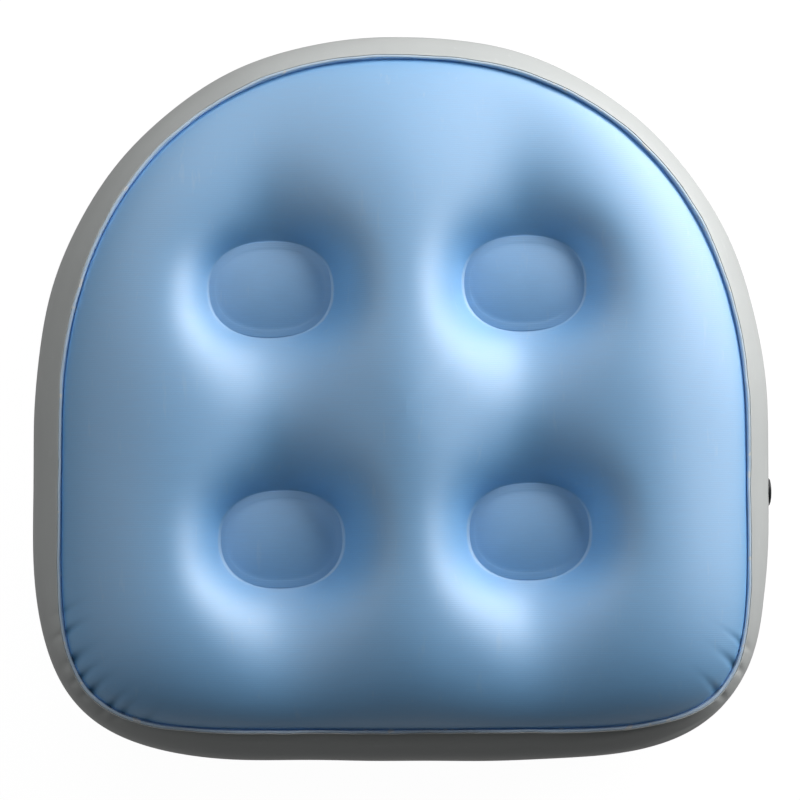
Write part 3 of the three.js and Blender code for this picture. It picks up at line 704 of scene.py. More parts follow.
def math_node(tree, operation, *values):
    return add(tree, "Math", {"operation": operation}, dict(enumerate(values))).outputs[0]


def noise(tree, place, scale, detail, roughness):
    return add(tree, "TexNoise", None, {"Vector": place, "Scale": scale, "Detail": detail,
                                        "Roughness": roughness}).outputs["Fac"]


def new_group(name, inputs, outputs):
    """A node group with named sockets, and the sockets of its two ends."""
    tree = bpy.data.node_groups.new(name, "ShaderNodeTree")
    for socket, kind, default in inputs:
        made = tree.interface.new_socket(name=socket, in_out="INPUT", socket_type=kind)
        if default is not None:
            made.default_value = default
    for socket, kind in outputs:
        tree.interface.new_socket(name=socket, in_out="OUTPUT", socket_type=kind)
    return tree, tree.nodes.new("NodeGroupInput").outputs, tree.nodes.new("NodeGroupOutput").inputs


def weave_group():
    """Fine cloth: crosswise threads whose thickness wanders, crossed by a finer thread the other way.
    Height is for a bump, and Shade is a faint light and dark from thread to thread."""
    tree, given, result = new_group(
        "weave",
        [("Vector", "NodeSocketVector", None), ("Pitch", "NodeSocketFloat", 0.0008)],
        [("Height", "NodeSocketFloat"), ("Shade", "NodeSocketFloat")])
    place = add(tree, "SeparateXYZ", None, {0: given["Vector"]}).outputs
    turns = math_node(tree, "DIVIDE", 2 * math.pi, given["Pitch"])
    across = math_node(tree, "SINE", math_node(tree, "MULTIPLY", place["Y"], turns))
    finer = math_node(tree, "MULTIPLY", turns, 1.4)
    along = math_node(tree, "SINE", math_node(tree, "MULTIPLY", place["X"], finer))
    crossed = math_node(tree, "MULTIPLY", across, math_node(tree, "MULTIPLY_ADD", along, 0.4, 0.6))
    stretched = add(tree, "VectorMath", {"operation": "MULTIPLY"},
                    {0: given["Vector"], 1: (0.12, 1.0, 0.12)}).outputs[0]
    slub = noise(tree, stretched, 900.0, 2.0, 0.6)
    tree.links.new(math_node(tree, "MULTIPLY", crossed, slub), result["Height"])
    tree.links.new(slub, result["Shade"])


def grain_group():
    """Moulded and calendered vinyl: a fine orange-peel Height, and a slow Cloud for uneven tone."""
    tree, given, result = new_group(
        "grain",
        [("Vector", "NodeSocketVector", None), ("Size", "NodeSocketFloat", 0.0012)],
        [("Height", "NodeSocketFloat"), ("Cloud", "NodeSocketFloat")])
    scale = math_node(tree, "DIVIDE", 1.0, given["Size"])
    peel = noise(tree, given["Vector"], scale, 3.0, 0.55)
    cloud = noise(tree, given["Vector"], math_node(tree, "MULTIPLY", scale, 0.035), 2.0, 0.5)
    tree.links.new(peel, result["Height"])
    tree.links.new(cloud, result["Cloud"])


def handling_group():
    """Light marks of handling: thin scuffs where a stretched noise passes a limit. Mask is 0 to Amount."""
    tree, given, result = new_group(
        "handling",
        [("Vector", "NodeSocketVector", None), ("Amount", "NodeSocketFloat", 0.3)],
        [("Mask", "NodeSocketFloat")])
    turned_place = add(tree, "Mapping", None, {"Vector": given["Vector"], "Rotation": (0.4, 0.2, 0.7),
                                               "Scale": (1.0, 0.16, 1.0)}).outputs[0]
    marks = ranged(tree, noise(tree, turned_place, 210.0, 4.0, 0.65), 0.62, 0.74)
    tree.links.new(math_node(tree, "MULTIPLY", marks, given["Amount"]), result["Mask"])


GROUPS = {"weave": weave_group, "grain": grain_group, "handling": handling_group}


def effect(tree, name, inputs):
    """The outputs of a shared effect, placed in a material with that material's own values."""
    if name not in bpy.data.node_groups:
        GROUPS[name]()
    return add(tree, "Group", {"node_tree": bpy.data.node_groups[name]}, inputs).outputs


def new_material(name, shader_inputs):
    """A material with one Principled shader, and its tree, shader and Object coordinates."""
    material = bpy.data.materials.new(name)
    tree = cleared_tree(material)
    shader = add(tree, "BsdfPrincipled", None, shader_inputs)
    add(tree, "OutputMaterial", None, {"Surface": shader.outputs[0]})
    place = add(tree, "TexCoord").outputs["Object"]
    return material, tree, shader, place


def tinted(tree, base, toward, factor, blend="MIX"):
    """A colour mixed towards another by a factor. Each of the two is a colour or a node's output."""
    base, toward = (value if isinstance(value, bpy.types.NodeSocket) else (*value, 1.0)
                    for value in (base, toward))
    mix = add(tree, "Mix", {"data_type": "RGBA", "blend_type": blend}, {0: factor, 6: base, 7: toward})
    return mix.outputs[2]


def scaled_colour(values, factor):
    return tuple(min(value * factor, 1.0) for value in values)


def ranged(tree, value, start, end, low=0.0, high=1.0):
    """A value whose range from start to end is carried to one from low to high, and clipped there."""
    return add(tree, "MapRange", None, {"Value": value, "From Min": start, "From Max": end, "To Min": low,
                                        "To Max": high}).outputs[0]


def between_numbers(tree, mask, low, high):
    return ranged(tree, mask, 0.0, 1.0, low, high)


def bump_from(tree, height, strength, distance):
    return add(tree, "Bump", None, {"Height": height, "Strength": strength, "Distance": distance}).outputs[0]


# Pale colour of the lip's cut edge; it also runs down the lip's inner face as painted light over the shade
# there
PALE_LIP_EDGE_AND_LIGHT = (0.60, 0.80, 1.0)
BARE_VINYL = (0.86, 0.88, 0.88)
SCUFFED_FABRIC = (0.62, 0.76, 0.88)


def fabric_material(name, base, pitch, gloss):
    """Satin cloth bonded to vinyl: woven bump, threads that vary, a broad shine, a pale lip edge whose
    colour also runs down the lip's inner face as painted light over its shade, nicks there that show the
    vinyl, and front folds with painted shade and less shine."""
    material, tree, shader, place = new_material(name, {"IOR": gloss})
    weave = effect(tree, "weave", {"Vector": place, "Pitch": pitch})
    grain = effect(tree, "grain", {"Vector": place, "Size": 0.004})
    marks = effect(tree, "handling", {"Vector": place, "Amount": 0.12})
    lip = add(tree, "Attribute", {"attribute_name": "lip"}).outputs["Fac"]
    threads = tinted(tree, scaled_colour(base, 0.92), scaled_colour(base, 1.10), weave["Shade"])
    cloud = tinted(tree, threads, grain["Cloud"], 0.12, "MULTIPLY")
    # The pale lip colour starts low on the lip, so it is the cut edge's own colour and also painted light
    # over the shaded inner face
    lip_edge_and_light = ranged(tree, lip, 0.05, 0.45, 0.0, 0.9)
    pale_lip_and_light = tinted(tree, cloud, PALE_LIP_EDGE_AND_LIGHT, lip_edge_and_light)
    nicks = math_node(tree, "MULTIPLY", lip_edge_and_light, ranged(tree, noise(tree, place, 130.0, 1.0, 0.5),
                                                         0.66, 0.69))
    scuffed = tinted(tree, tinted(tree, pale_lip_and_light, BARE_VINYL, nicks), SCUFFED_FABRIC, marks["Mask"])
    # Painted shade: the fabric turns darker and less shiny in the folds of the front corners
    fold = add(tree, "Attribute", {"attribute_name": "fold"}).outputs["Fac"]
    shaded = tinted(tree, scuffed, scaled_colour(base, 0.2), fold)
    tree.links.new(shaded, shader.inputs["Base Color"])
    tree.links.new(between_numbers(tree, fold, 1.0, 0.2), shader.inputs["Specular IOR Level"])
    tree.links.new(between_numbers(tree, weave["Shade"], 0.62, 0.70), shader.inputs["Roughness"])
    tree.links.new(bump_from(tree, weave["Height"], 0.16, 0.0002), shader.inputs["Normal"])
    return material


def vinyl_material(name, base, roughness, size, depth):
    """Plasticised vinyl sheet or moulding: orange peel, uneven tone and light handling marks."""
    material, tree, shader, place = new_material(name, {"IOR": 1.5})
    grain = effect(tree, "grain", {"Vector": place, "Size": size})
    marks = effect(tree, "handling", {"Vector": place, "Amount": 0.25})
    tone = tinted(tree, scaled_colour(base, 0.94), scaled_colour(base, 1.06), grain["Cloud"])
    marked = tinted(tree, tone, scaled_colour(base, 1.25), marks["Mask"])
    tree.links.new(marked, shader.inputs["Base Color"])
    rough = math_node(tree, "MULTIPLY_ADD", marks["Mask"], 0.25,
                      between_numbers(tree, grain["Cloud"], roughness - 0.04, roughness + 0.06))
    tree.links.new(rough, shader.inputs["Roughness"])
    tree.links.new(bump_from(tree, grain["Height"], 0.3, depth), shader.inputs["Normal"])
    return material


def clear_material(name, base):
    """Clear soft moulded vinyl, slightly milky, with flow marks."""
    material, tree, shader, place = new_material(name, {"IOR": 1.5, "Transmission Weight": 0.72})
    grain = effect(tree, "grain", {"Vector": place, "Size": 0.003})
    tone = tinted(tree, scaled_colour(base, 0.93), scaled_colour(base, 1.05), grain["Cloud"])
    tree.links.new(tone, shader.inputs["Base Color"])
    tree.links.new(between_numbers(tree, grain["Cloud"], 0.12, 0.26), shader.inputs["Roughness"])
    tree.links.new(bump_from(tree, grain["Height"], 0.15, 0.0001), shader.inputs["Normal"])
    return material


# The maker of each finish, its colour, and the maker's other values: pitch of the threads and index of
# refraction for a fabric, or roughness, size and depth of the grain for a vinyl
FINISHES = {
    "blue satin fabric": (fabric_material, "fabric", 1.1 * MM, 2.55),
    "blue patch fabric": (fabric_material, "patch", 1.1 * MM, 2.2),
    "grey sheet vinyl": (vinyl_material, "vinyl", 0.36, 1.6 * MM, 0.06 * MM),
    "plain inner vinyl": (vinyl_material, "inner", 0.5, 1.6 * MM, 0.06 * MM),
    "dark moulded vinyl": (vinyl_material, "valve", 0.42, 0.9 * MM, 0.05 * MM),
    "clear moulded vinyl": (clear_material, "clear"),
}


def finish_of(name):
    """A finish by its plain name, made when it is first asked for."""
    if name in bpy.data.materials:
        return bpy.data.materials[name]
    maker, base, *values = FINISHES[name]
    return maker(name, tuple(getattr(bpy.context.scene.cushion_colours, base)), *values)


def lip_share(sizes, seam, points):
    """How far up the top sheet's lip each point lies, from 0 at the seam to 1 at the edge."""
    angle, distance = polar(sizes, points[:, 0], points[:, 1])
    at_rim = distance > reach(seam, angle, -LIP_FOOT_SHEETS * sizes.sheet)
    return np.where(at_rim, np.clip((points[:, 2] - top_seam(sizes)) / sizes.fin_height, 0, 1), 0)


def painted_fold_shade(sizes, seam, points):
    """How deep each point lies in a fold of a front corner, from 0 to 1 and made stronger: the strength of
    the shade painted into the fabric there.
    """
    angle, distance = polar(sizes, points[:, 0], points[:, 1])
    inside = reach(seam, angle) - distance
    at_rim = inside <= LIP_FOOT_SHEETS * sizes.sheet
    near = np.where(at_rim, 0, np.exp(-np.clip(inside, 0, None) / sizes.pucker_reach))
    return np.clip(FOLD_SHADE * folds(angle) * near, 0, 1)


class CUSHION_OT_top_sheet(bpy.types.Operator):
    """Makes the crowned and tufted top sheet with its weld lip"""
    bl_idname = "cushion.top_sheet"
    bl_label = "Top sheet"

    def execute(self, context):
        sizes = context.scene.cushion_sizes
        seam, _ = outlines(sizes)
        holds = tie_holds(sizes, 1)
        panel = Panel(1, top_seam(sizes), Crown(sizes.crown, *TOP_CROWN, sizes.trough), holds)
        mesh = make_mesh("top_cover", sheet_panel(sizes, seam, panel, tie_middle(holds)))
        points = mesh_points(mesh)
        point_attribute(mesh, "lip", lip_share(sizes, seam, points))
        # Strength of the shade painted into the front folds
        point_attribute(mesh, "fold", painted_fold_shade(sizes, seam, points))
        piece = add_piece("top_cover", mesh, finish_of("blue satin fabric"), CUSHION, "blue_fabric",
                          "top_panel")
        return {"FINISHED"}


class CUSHION_OT_side_wall(bpy.types.Operator):
    """Makes the swelling side wall with its two weld lips and the hole for the valve"""
    bl_idname = "cushion.side_wall"
    bl_label = "Side wall"

    def execute(self, context):
        sizes = context.scene.cushion_sizes
        seam, girth = outlines(sizes)
        mesh = make_mesh("side_wall", side_wall(sizes, seam, girth))
        valve = middle_of("valve_stem")
        reach_out = 30 * MM
        drill = turned("drill", np.array([[0, -reach_out], [sizes.valve_mouth, -reach_out],
                                          [sizes.valve_mouth, reach_out], [0, reach_out]]))
        place = Matrix.Translation((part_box("side_band")[1].x, valve.y, valve.z))
        tool = moved(drill, place @ Matrix.Rotation(math.pi / 2, 4, "Y"))
        cut = boolean(mesh, tool, "DIFFERENCE")
        piece = add_piece("side_wall", cut, finish_of("grey sheet vinyl"), CUSHION, "grey_vinyl",
                          "side_band")
        return {"FINISHED"}


class CUSHION_OT_bottom_sheet(bpy.types.Operator):
    """Makes the bottom sheet, drawn in at its ties and flat under its feet"""
    bl_idname = "cushion.bottom_sheet"
    bl_label = "Bottom sheet"

    def execute(self, context):
        sizes = context.scene.cushion_sizes
        seam, _ = outlines(sizes)
        ties = tie_holds(sizes, -1)
        crown = Crown(sizes.bottom_crown, *BOTTOM_CROWN, 0.0)
        panel = Panel(-1, bottom_seam(sizes), crown, ties + land_holds(sizes))
        mesh = make_mesh("bottom_cover", sheet_panel(sizes, seam, panel, tie_middle(ties)))
        piece = add_piece("bottom_cover", mesh, finish_of("grey sheet vinyl"), CUSHION, "grey_vinyl",
                          "bottom_panel")
        return {"FINISHED"}


def patch_grid(sizes, oval, low, high):
    """A tuft patch: a thin rim, a rounded bevel and a domed middle, as rings of a superellipse.

    The rings run from the middle of the flat base out and up to the middle of the dome, whose height is
    one minus the square of the share of the way out."""
    height = high - low
    base = low - PATCH_SINK
    margin, bevel = sizes.patch_margin, 3.5 * MM
    edge_high, dome_high, base_in, bevel_in = 0.5 * MM, 2.9 * MM, 6 * MM, 3 * MM
    edge_lean, edge_round, uneven = 0.1 * MM, 0.6 * MM, 0.10 * MM
    bevel_high = height - dome_high
    profile = rounded([(-base_in, base), (-margin, base), (-margin + edge_lean, base + edge_high),
                       (-margin - bevel, low + bevel_high), (-margin - bevel - bevel_in, low + bevel_high)],
                      edge_round, ROUND_STEPS + 1)[:-1]
    angle = full_turn(OVAL_STEPS)
    rows = [ring(0 * angle, angle, base)]
    for spread, z in profile:
        rows.append(ring(reach(oval, angle, spread), angle, z))
    last = reach(oval, angle, profile[-1][0])
    for share in np.linspace(1, 0, DOME_STEPS + 1)[1:]:
        dome = low + bevel_high + dome_high * (1 - share ** 2)
        soft = uneven * np.sin(2 * angle + 0.6) * share * (1 - share) * 4
        rows.append(ring(share * last, angle, dome + soft))
    return np.stack(rows)


class CUSHION_OT_patches(bpy.types.Operator):
    """Makes the four raised oval patches on the tufts"""
    bl_idname = "cushion.patches"
    bl_label = "Tuft patches"

    def execute(self, context):
        sizes = context.scene.cushion_sizes
        for corner, hold in zip(CORNERS, tie_holds(sizes, 1)):
            low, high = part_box(f"tuft_patch_{corner}")
            grid = patch_grid(sizes, hold.oval, low.z, high.z)
            place = Matrix.Translation((hold.x, hold.y, 0)) @ Matrix.Rotation(hold.turn, 4, "Z")
            mesh = moved(make_mesh(f"patch_{corner}", [(grid, True, True)], SHARP_SOFT_DEGREES), place)
            piece = add_piece(f"patch_{corner}", mesh, finish_of("blue patch fabric"), CUSHION,
                              "blue_fabric", f"tuft_patch_{corner}")
        return {"FINISHED"}


def cup_profile(high):
    """A suction cup: flat rim, hollow, bell, neck and mushroom head, in (radius, height) from the hollow's
    top down to the rim and up over the outside. The hollow rises by 1 - (1 - share) squared, and the
    bell by 1 - (1 - share)^1.3."""
    rim, rim_width, rim_thick = 20 * MM, 3 * MM, 1.3 * MM
    bell_high, hollow_high, shoulder = 7.6 * MM, 4.6 * MM, 7 * MM
    neck, head, head_thick, head_edge = 3.7 * MM, 5.5 * MM, 2.5 * MM, 0.8 * MM
    edge_in, edge_round = 1 * MM, 0.3 * MM
    share = np.linspace(0, 1, CUP_STEPS)
    hollow = np.stack([(rim - rim_width) * (1 - share), hollow_high * (1 - (1 - share) ** 2)], axis=-1)[::-1]
    bell = np.stack([rim + (shoulder - rim) * share,
                     rim_thick + (bell_high - rim_thick) * (1 - (1 - share) ** 1.3)], axis=-1)
    head_low = high - head_thick
    upper = rounded([(shoulder, bell_high), (neck, bell_high), (neck, head_low), (head, head_low),
                     (head, high - head_edge), (head - head_edge, high), (0, high)], head_edge / 2)
    edge = rounded([(rim - edge_in, 0), (rim, 0), (rim, rim_thick)], edge_round)[:-1]
    return np.concatenate([hollow, edge, bell, upper[1:]])


def tongue_grid():
    """A release tongue: a flat slab with a round end, as rings round its outline, along -Y."""
    thick, rise, half, near, far, bevel = 1.2 * MM, 0.4 * MM, 4.5 * MM, 17.4 * MM, 29 * MM, 0.2 * MM
    turn = np.linspace(math.pi, 2 * math.pi, 25)
    outline = np.concatenate([[[-half, -near]], point_at(half, turn, (0, half - far)), [[half, -near]]])
    middle = np.array([0, -(near + far) / 2])
    rows = []
    for share, z in ((0, rise), (0.9, rise), (1, rise + bevel), (1, rise + thick - bevel),
                     (0.9, rise + thick), (0, rise + thick)):
        rows.append(at_height(middle + (outline - middle) * share, z))
    return np.stack(rows)


def socket_profile(low, high):
    """A foot's socket: a lipped pocket under a boss and a wide flange, in (radius, height) points."""
    mouth, pocket, boss, flange = 4.2 * MM, 5.85 * MM, 9 * MM, 15 * MM
    lip, roof, flange_thick, taper = 1.6 * MM, 1.4 * MM, 1.2 * MM, 1.2 * MM
    return rounded([(0, high - roof), (pocket, high - roof), (pocket, low + lip), (mouth, low + lip),
                    (mouth, low), (boss - taper, low), (boss, high - flange_thick),
                    (flange, high - flange_thick), (flange, high), (0, high)], EDGE_ROUND)


class CUSHION_OT_feet(bpy.types.Operator):
    """Makes the four suction cups and the sockets that hold them"""
    bl_idname = "cushion.feet"
    bl_label = "Suction feet"

    def execute(self, context):
        clear = finish_of("clear moulded vinyl")
        for corner in CORNERS:
            low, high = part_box(f"cup_socket_{corner}")
            place = Matrix.Translation(((low.x + high.x) / 2, (low.y + high.y) / 2, 0))
            socket = turned(f"socket_{corner}", socket_profile(low.z, high.z))
            add_piece(f"socket_{corner}", moved(socket, place), clear, CUSHION, "clear_vinyl",
                      f"cup_socket_{corner}")
            _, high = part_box(f"suction_cup_{corner}")
            cup = turned(f"cup_{corner}", cup_profile(high.z))
            tongue = make_mesh("tongue", [(tongue_grid(), True, False)])
            joined = boolean(cup, tongue, "UNION", SHARP_CUP_DEGREES)
            add_piece(f"cup_{corner}", moved(joined, place), clear, f"suction_cup_{corner}", "clear_vinyl",
                      f"suction_cup_{corner}")
        return {"FINISHED"}


def along_valve(mesh):
    """Turns a mesh that was made about Z to lie along +X, and moves it to the valve's axis."""
    valve = middle_of("valve_stem")
    return moved(mesh, Matrix.Translation((0, valve.y, valve.z)) @ Matrix.Rotation(math.pi / 2, 4, "Y"))


def stem_profile(low, high):
    """The valve's stem in (radius, place along the axis): its bore, the bead inside and the lip outside."""
    bore, tube, bead, lip = 4.4 * MM, 6 * MM, 7 * MM, 7.6 * MM
    bead_long, lip_long = 1.4 * MM, 1.6 * MM
    return rounded([(bore, (low + high) / 2), (bore, low), (bead, low), (bead, low + bead_long),
                    (tube, low + bead_long), (tube, high - lip_long), (lip, high - lip_long), (lip, high),
                    (bore, high), (bore, (low + high) / 2)], EDGE_ROUND)


def plug_profile(low, high, grip):
    """The plug: a shank with a rounded tip under a round head, in (radius, place along the axis)."""
    shank, head, head_thick, taper = 3.9 * MM, 7.6 * MM, 1.6 * MM, 0.5 * MM
    face = high - grip
    return rounded([(0, low), (shank - taper, low), (shank, low + shank), (shank, face - head_thick),
                    (head, face - head_thick), (head, face), (head - 2 * MM, face),
                    (head - 2.2 * MM, face - 0.25 * MM), (0, face - 0.25 * MM)], EDGE_ROUND)


def slab(name, size, centre):
    """A block with rounded edges, as rings of a rounded rectangle."""
    turn = full_turn(GRIP_STEPS)
    c, s = np.cos(turn), np.sin(turn)
    shape = np.stack([np.sign(c) * np.abs(c) ** 0.25, np.sign(s) * np.abs(s) ** 0.25], axis=-1) / 2
    rows = []
    for share, z in ((0, -0.5), (0.88, -0.5), (0.97, -0.42), (1, -0.3), (1, 0.3), (0.97, 0.42), (0.88, 0.5),
                     (0, 0.5)):
        plan = shape * share * np.array(size[:2])
        rows.append(at_height(plan, z * size[2]))
    return make_mesh(name, [(np.stack(rows) + np.array(centre), True, False)])


def tether_line(stem_edge, head_edge, sizes):
    """The tether's middle line in (out, down) from the valve's axis: along the lip, over the edge of the
    hole on a small arc, down the wall on a large one, round a loop and back up to the plug's head."""
    lay, bend, loop, drop = 0.65 * MM, 0.6 * MM, 1.3 * MM, 8 * MM
    half = (top_seam(sizes) - bottom_seam(sizes)) / 2
    wall = (half ** 2 + sizes.side_swell ** 2) / (2 * sizes.side_swell)
    lip_side, over, lean = 7.6 * MM + lay, wall + lay, math.radians(16)
    start = math.asin((lip_side + bend) / (over - bend))
    end = math.asin((lip_side + drop) / over)

    def arc(middle, spin, radius, first, last, steps):
        turn = np.linspace(first, last, steps)
        return point_at(radius, turn, (middle * math.cos(spin) - wall, middle * math.sin(spin)))

    edge = arc(over - bend, start, bend, -math.pi / 2, start, 10)
    down = arc(0, 0, over, start, end, 12)[1:]
    round_loop = arc(over + loop, end, loop, end + math.pi, lean, 40)[1:]
    foot = round_loop[-1]
    corner = np.array([head_edge[0], foot[1] - (head_edge[0] - foot[0]) / math.tan(lean)])
    t = np.linspace(0, 1, 14)[1:, None]
    back = (1 - t) ** 2 * foot + 2 * t * (1 - t) * corner + t ** 2 * np.array(head_edge)
    return np.concatenate([[stem_edge], edge, down, round_loop, back])


def strap(line, width, thick):
    """A flat strap along a line in (out, down): a rounded rectangle carried along it, closed at both
    ends by smaller copies of itself."""
    along = np.gradient(line, axis=0)
    along /= np.linalg.norm(along, axis=1)[:, None]
    across = np.stack([-along[:, 1], along[:, 0]], axis=-1)
    turn = full_turn(STRAP_STEPS)
    c, s = np.cos(turn), np.sin(turn)
    wide = np.sign(c) * np.abs(c) ** 0.4 * width / 2
    high = np.sign(s) * np.abs(s) ** 0.7 * thick / 2
    rows = []
    for k, share in [(0, 0.0), (0, 0.8)] + [(k, 1.0) for k in range(len(line))] + [(-1, 0.8), (-1, 0.0)]:
        out = line[k, 0] + across[k, 0] * high * share
        down = line[k, 1] + across[k, 1] * high * share
        rows.append(np.stack([out, wide * share, -down], axis=-1))
    return np.stack(rows)


class CUSHION_OT_valve(bpy.types.Operator):
    """Makes the valve's stem, check flap, plug and tether"""
    bl_idname = "cushion.valve"
    bl_label = "Inflation valve"

    def execute(self, context):
        sizes = context.scene.cushion_sizes
        dark = finish_of("dark moulded vinyl")
        low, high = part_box("valve_stem")
        stem = along_valve(turned("stem", stem_profile(low.x, high.x)))
        add_piece("stem", stem, dark, "valve_stem", "valve_vinyl", "valve_stem")
        flap_low, flap_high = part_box("valve_flap")
        radius = (flap_high.y - flap_low.y) / 2
        flap = rounded([(0, flap_low.x), (radius, flap_low.x), (radius, flap_high.x), (0, flap_high.x)],
                       0.25 * MM)
        add_piece("flap", along_valve(turned("flap", flap)), dark, "valve_flap", "valve_vinyl",
                  "valve_flap")
        plug_low, plug_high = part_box("valve_plug")
        grip, grip_wide, grip_long, grip_thick = 0.6 * MM, 3 * MM, 7 * MM, 1.6 * MM
        strap_wide, strap_thick = 4 * MM, 0.7 * MM
        half_lip, half_head, lip_side, head_side = 0.8 * MM, 0.8 * MM, 8.25 * MM, 7.9 * MM
        body = turned("plug", plug_profile(plug_low.x, plug_high.x, grip))
        handle = slab("grip", (grip_wide, grip_long, grip_thick), (0, 0, plug_high.x - grip_thick / 2))
        plug = boolean(along_valve(body), along_valve(handle), "UNION")
        add_piece("plug", plug, dark, "valve_plug", "valve_vinyl", "valve_plug")
        valve = middle_of("valve_stem")
        place = Vector((plug_high.x - grip - half_head, valve.y, valve.z))
        stem_edge = (high.x - half_lip - place.x, lip_side)
        head_edge = (plug_high.x - grip - place.x - strap_thick / 2, head_side)
        line = tether_line(stem_edge, head_edge, sizes)
        grid = strap(line, strap_wide, strap_thick)
        mesh = moved(make_mesh("tether", [(grid, True, False)], SHARP_SOFT_DEGREES),
                     Matrix.Translation(place))
        tether = add_piece("tether", mesh, dark, None, "valve_vinyl", "valve_tether")
        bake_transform(tether)
        return {"FINISHED"}


class CUSHION_OT_inner_parts(bpy.types.Operator):
    """Gives the ties and the valve's collar, which keep their frame shapes, their finishes"""
    bl_idname = "cushion.inner_parts"
    bl_label = "Ties and collar"

    def execute(self, context):
        finishes = {f"tie_tube_{corner}": "plain inner vinyl" for corner in CORNERS}
        finishes["valve_collar"] = "dark moulded vinyl"
        for name, finish in finishes.items():
            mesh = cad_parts[name].data
            mesh.materials.clear()
            mesh.materials.append(finish_of(finish))
        return {"FINISHED"}


def soft_lamp(name, place, target, size, height, power):
    """An oval white area lamp that faces the target."""
    data = bpy.data.lights.new(name, "AREA")
    data.shape, data.size, data.size_y, data.energy = "ELLIPSE", size, height, power
    lamp = linked(name, data)
    lamp.location = place
    lamp.rotation_euler = (Vector(target) - Vector(place)).to_track_quat("-Z", "Y").to_euler()


def seen_directly(tree, mirrored):
    """1 for rays from the camera or through clear vinyl, which see the white background, and the share that
    is mirrored for a reflection."""
    path = add(tree, "LightPath").outputs
    glossy = math_node(tree, "MULTIPLY", path["Is Glossy Ray"], mirrored)
    seen = math_node(tree, "MAXIMUM", path["Is Camera Ray"], glossy)
    return math_node(tree, "MAXIMUM", seen, path["Is Transmission Ray"])


def floor_material(tone, glow, mirrored):
    """A floor that looks white and keeps a faint shadow, and gives the object a mid-tone bounce."""
    material = bpy.data.materials.new("white floor")
    tree = cleared_tree(material)
    matt = add(tree, "BsdfDiffuse", None, {"Color": (tone, tone, tone, 1.0)})
    light = add(tree, "Emission", None, {"Color": (1.0, 1.0, 1.0, 1.0), "Strength": glow})
    both = add(tree, "AddShader", None, {0: matt.outputs[0], 1: light.outputs[0]})
    mixed = add(tree, "MixShader", None, {0: seen_directly(tree, mirrored), 1: matt.outputs[0],
                                       2: both.outputs[0]})
    add(tree, "OutputMaterial", None, {"Surface": mixed.outputs[0]})
    return material


def white_world(strength, backdrop, mirrored):
    """White to the camera. To a reflection or through clear vinyl it is a white backdrop that stands up to
    a height round the floor, and dark above that. To all other rays it is a weak even light."""
    world = bpy.data.worlds.new("studio")
    bpy.context.scene.world = world
    tree = cleared_tree(world)
    weak = add(tree, "Background", None, {"Color": (0.93, 0.97, 1.0, 1.0), "Strength": strength})
    white = add(tree, "Background", None, {"Color": (1.0, 1.0, 1.0, 1.0), "Strength": 1.0})
    direction = add(tree, "TexCoord").outputs["Generated"]
    height = add(tree, "SeparateXYZ", None, {0: direction}).outputs["Z"]
    low = add(tree, "MapRange", {"interpolation_type": "SMOOTHSTEP"},
              {"Value": height, "From Min": backdrop, "From Max": 2.5 * backdrop, "To Min": 1.0,
               "To Max": 0.0}).outputs[0]
    path = add(tree, "LightPath").outputs
    glossy = math_node(tree, "MULTIPLY", path["Is Glossy Ray"], mirrored)
    through = math_node(tree, "MAXIMUM", glossy, path["Is Transmission Ray"])
    seen = math_node(tree, "MAXIMUM", path["Is Camera Ray"], math_node(tree, "MULTIPLY", through, low))
    mixed = add(tree, "MixShader", None, {0: seen, 1: weak.outputs[0], 2: white.outputs[0]})
    add(tree, "OutputWorld", None, {"Surface": mixed.outputs[0]})


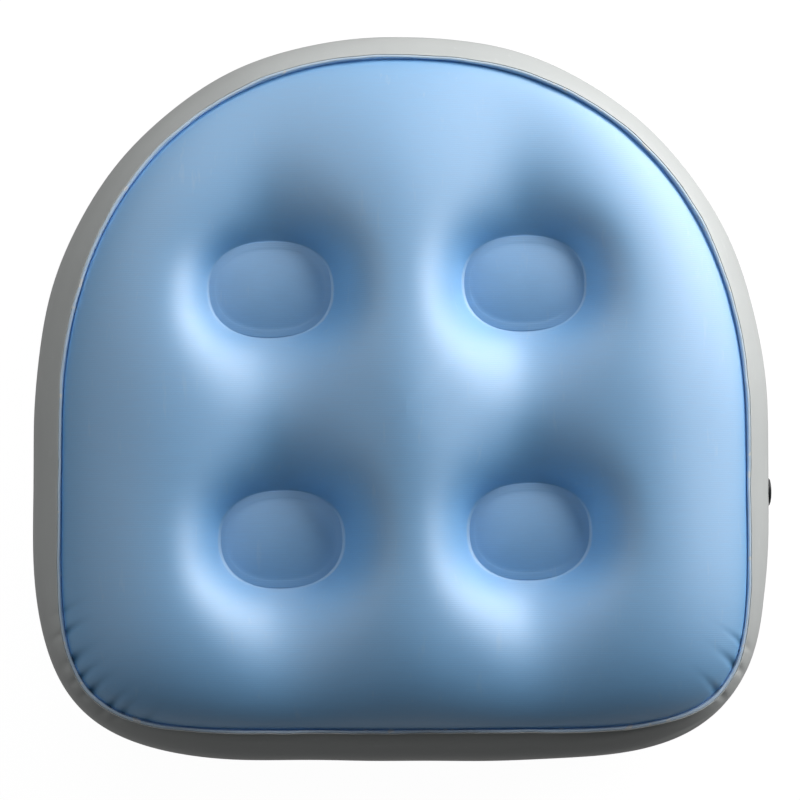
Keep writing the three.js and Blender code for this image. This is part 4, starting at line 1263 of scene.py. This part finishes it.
class CUSHION_OT_studio(bpy.types.Operator):
    """Makes the floor, the lights, the world and the camera"""
    bl_idname = "cushion.studio"
    bl_label = "Studio"

    def execute(self, context):
        studio = context.scene.cushion_studio
        side = 3.0
        mesh = bpy.data.meshes.new("floor")
        mesh.from_pydata([(-side, -side, 0), (side, -side, 0), (side, side, 0), (-side, side, 0)], [],
                         [(0, 1, 2, 3)])
        mesh.materials.append(floor_material(studio.floor_tone, studio.floor_glow, studio.mirrored))
        floor = linked("floor", mesh)
        for lamp in ("key", "back", "fill"):
            place, size, height, power = (getattr(studio, f"{lamp}_{kind}")
                                          for kind in ("place", "size", "height", "power"))
            soft_lamp(lamp, place, studio.target, size, height, power)
        white_world(studio.world, studio.backdrop, studio.mirrored)
        data = bpy.data.cameras.new("camera")
        data.lens = studio.lens
        camera = linked("camera", data)
        eye, target = Vector(studio.eye), Vector(studio.target)
        back = (eye - target).normalized()
        right = Vector((0, 1, 0)).cross(back).normalized()
        camera.matrix_world = Matrix.LocRotScale(
            eye, Matrix((right, back.cross(right), back)).transposed().to_quaternion(), None)
        context.scene.camera = camera
        context.scene.view_settings.view_transform = "Standard"
        return {"FINISHED"}


class CUSHION_PT_builder(bpy.types.Panel):
    """Lists the pieces in the order in which they are made"""
    bl_idname = "CUSHION_PT_builder"
    bl_label = "Inflatable cushion"
    bl_space_type = "VIEW_3D"
    bl_region_type = "UI"
    bl_category = "Cushion"

    def draw(self, context):
        for operator in OPERATORS:
            self.layout.operator(operator.bl_idname)
        for group in SETTINGS:
            settings = getattr(context.scene, group)
            column = self.layout.column()
            for name in settings.bl_rna.properties.keys():
                if name not in ("rna_type", "name"):
                    column.prop(settings, name)


OPERATORS = (CUSHION_OT_studio, CUSHION_OT_inner_parts, CUSHION_OT_top_sheet, CUSHION_OT_side_wall,
             CUSHION_OT_bottom_sheet, CUSHION_OT_patches, CUSHION_OT_feet, CUSHION_OT_valve)
SETTINGS = {"cushion_sizes": CushionSizes, "cushion_colours": CushionColours,
            "cushion_studio": CushionStudio}
CLASSES = (*SETTINGS.values(), *OPERATORS, CUSHION_PT_builder)


def register():
    for kind in CLASSES:
        bpy.utils.register_class(kind)
    for name, kind in SETTINGS.items():
        setattr(bpy.types.Scene, name, PointerProperty(type=kind))


def unregister():
    for name in SETTINGS:
        delattr(bpy.types.Scene, name)
    for kind in reversed(CLASSES):
        bpy.utils.unregister_class(kind)


def main():
    register()
    bpy.ops.cushion.studio()
    bpy.ops.cushion.inner_parts()
    bpy.ops.cushion.top_sheet()
    bpy.ops.cushion.side_wall()
    bpy.ops.cushion.bottom_sheet()
    bpy.ops.cushion.patches()
    bpy.ops.cushion.feet()
    bpy.ops.cushion.valve()


if __name__ == "__main__":
    main()
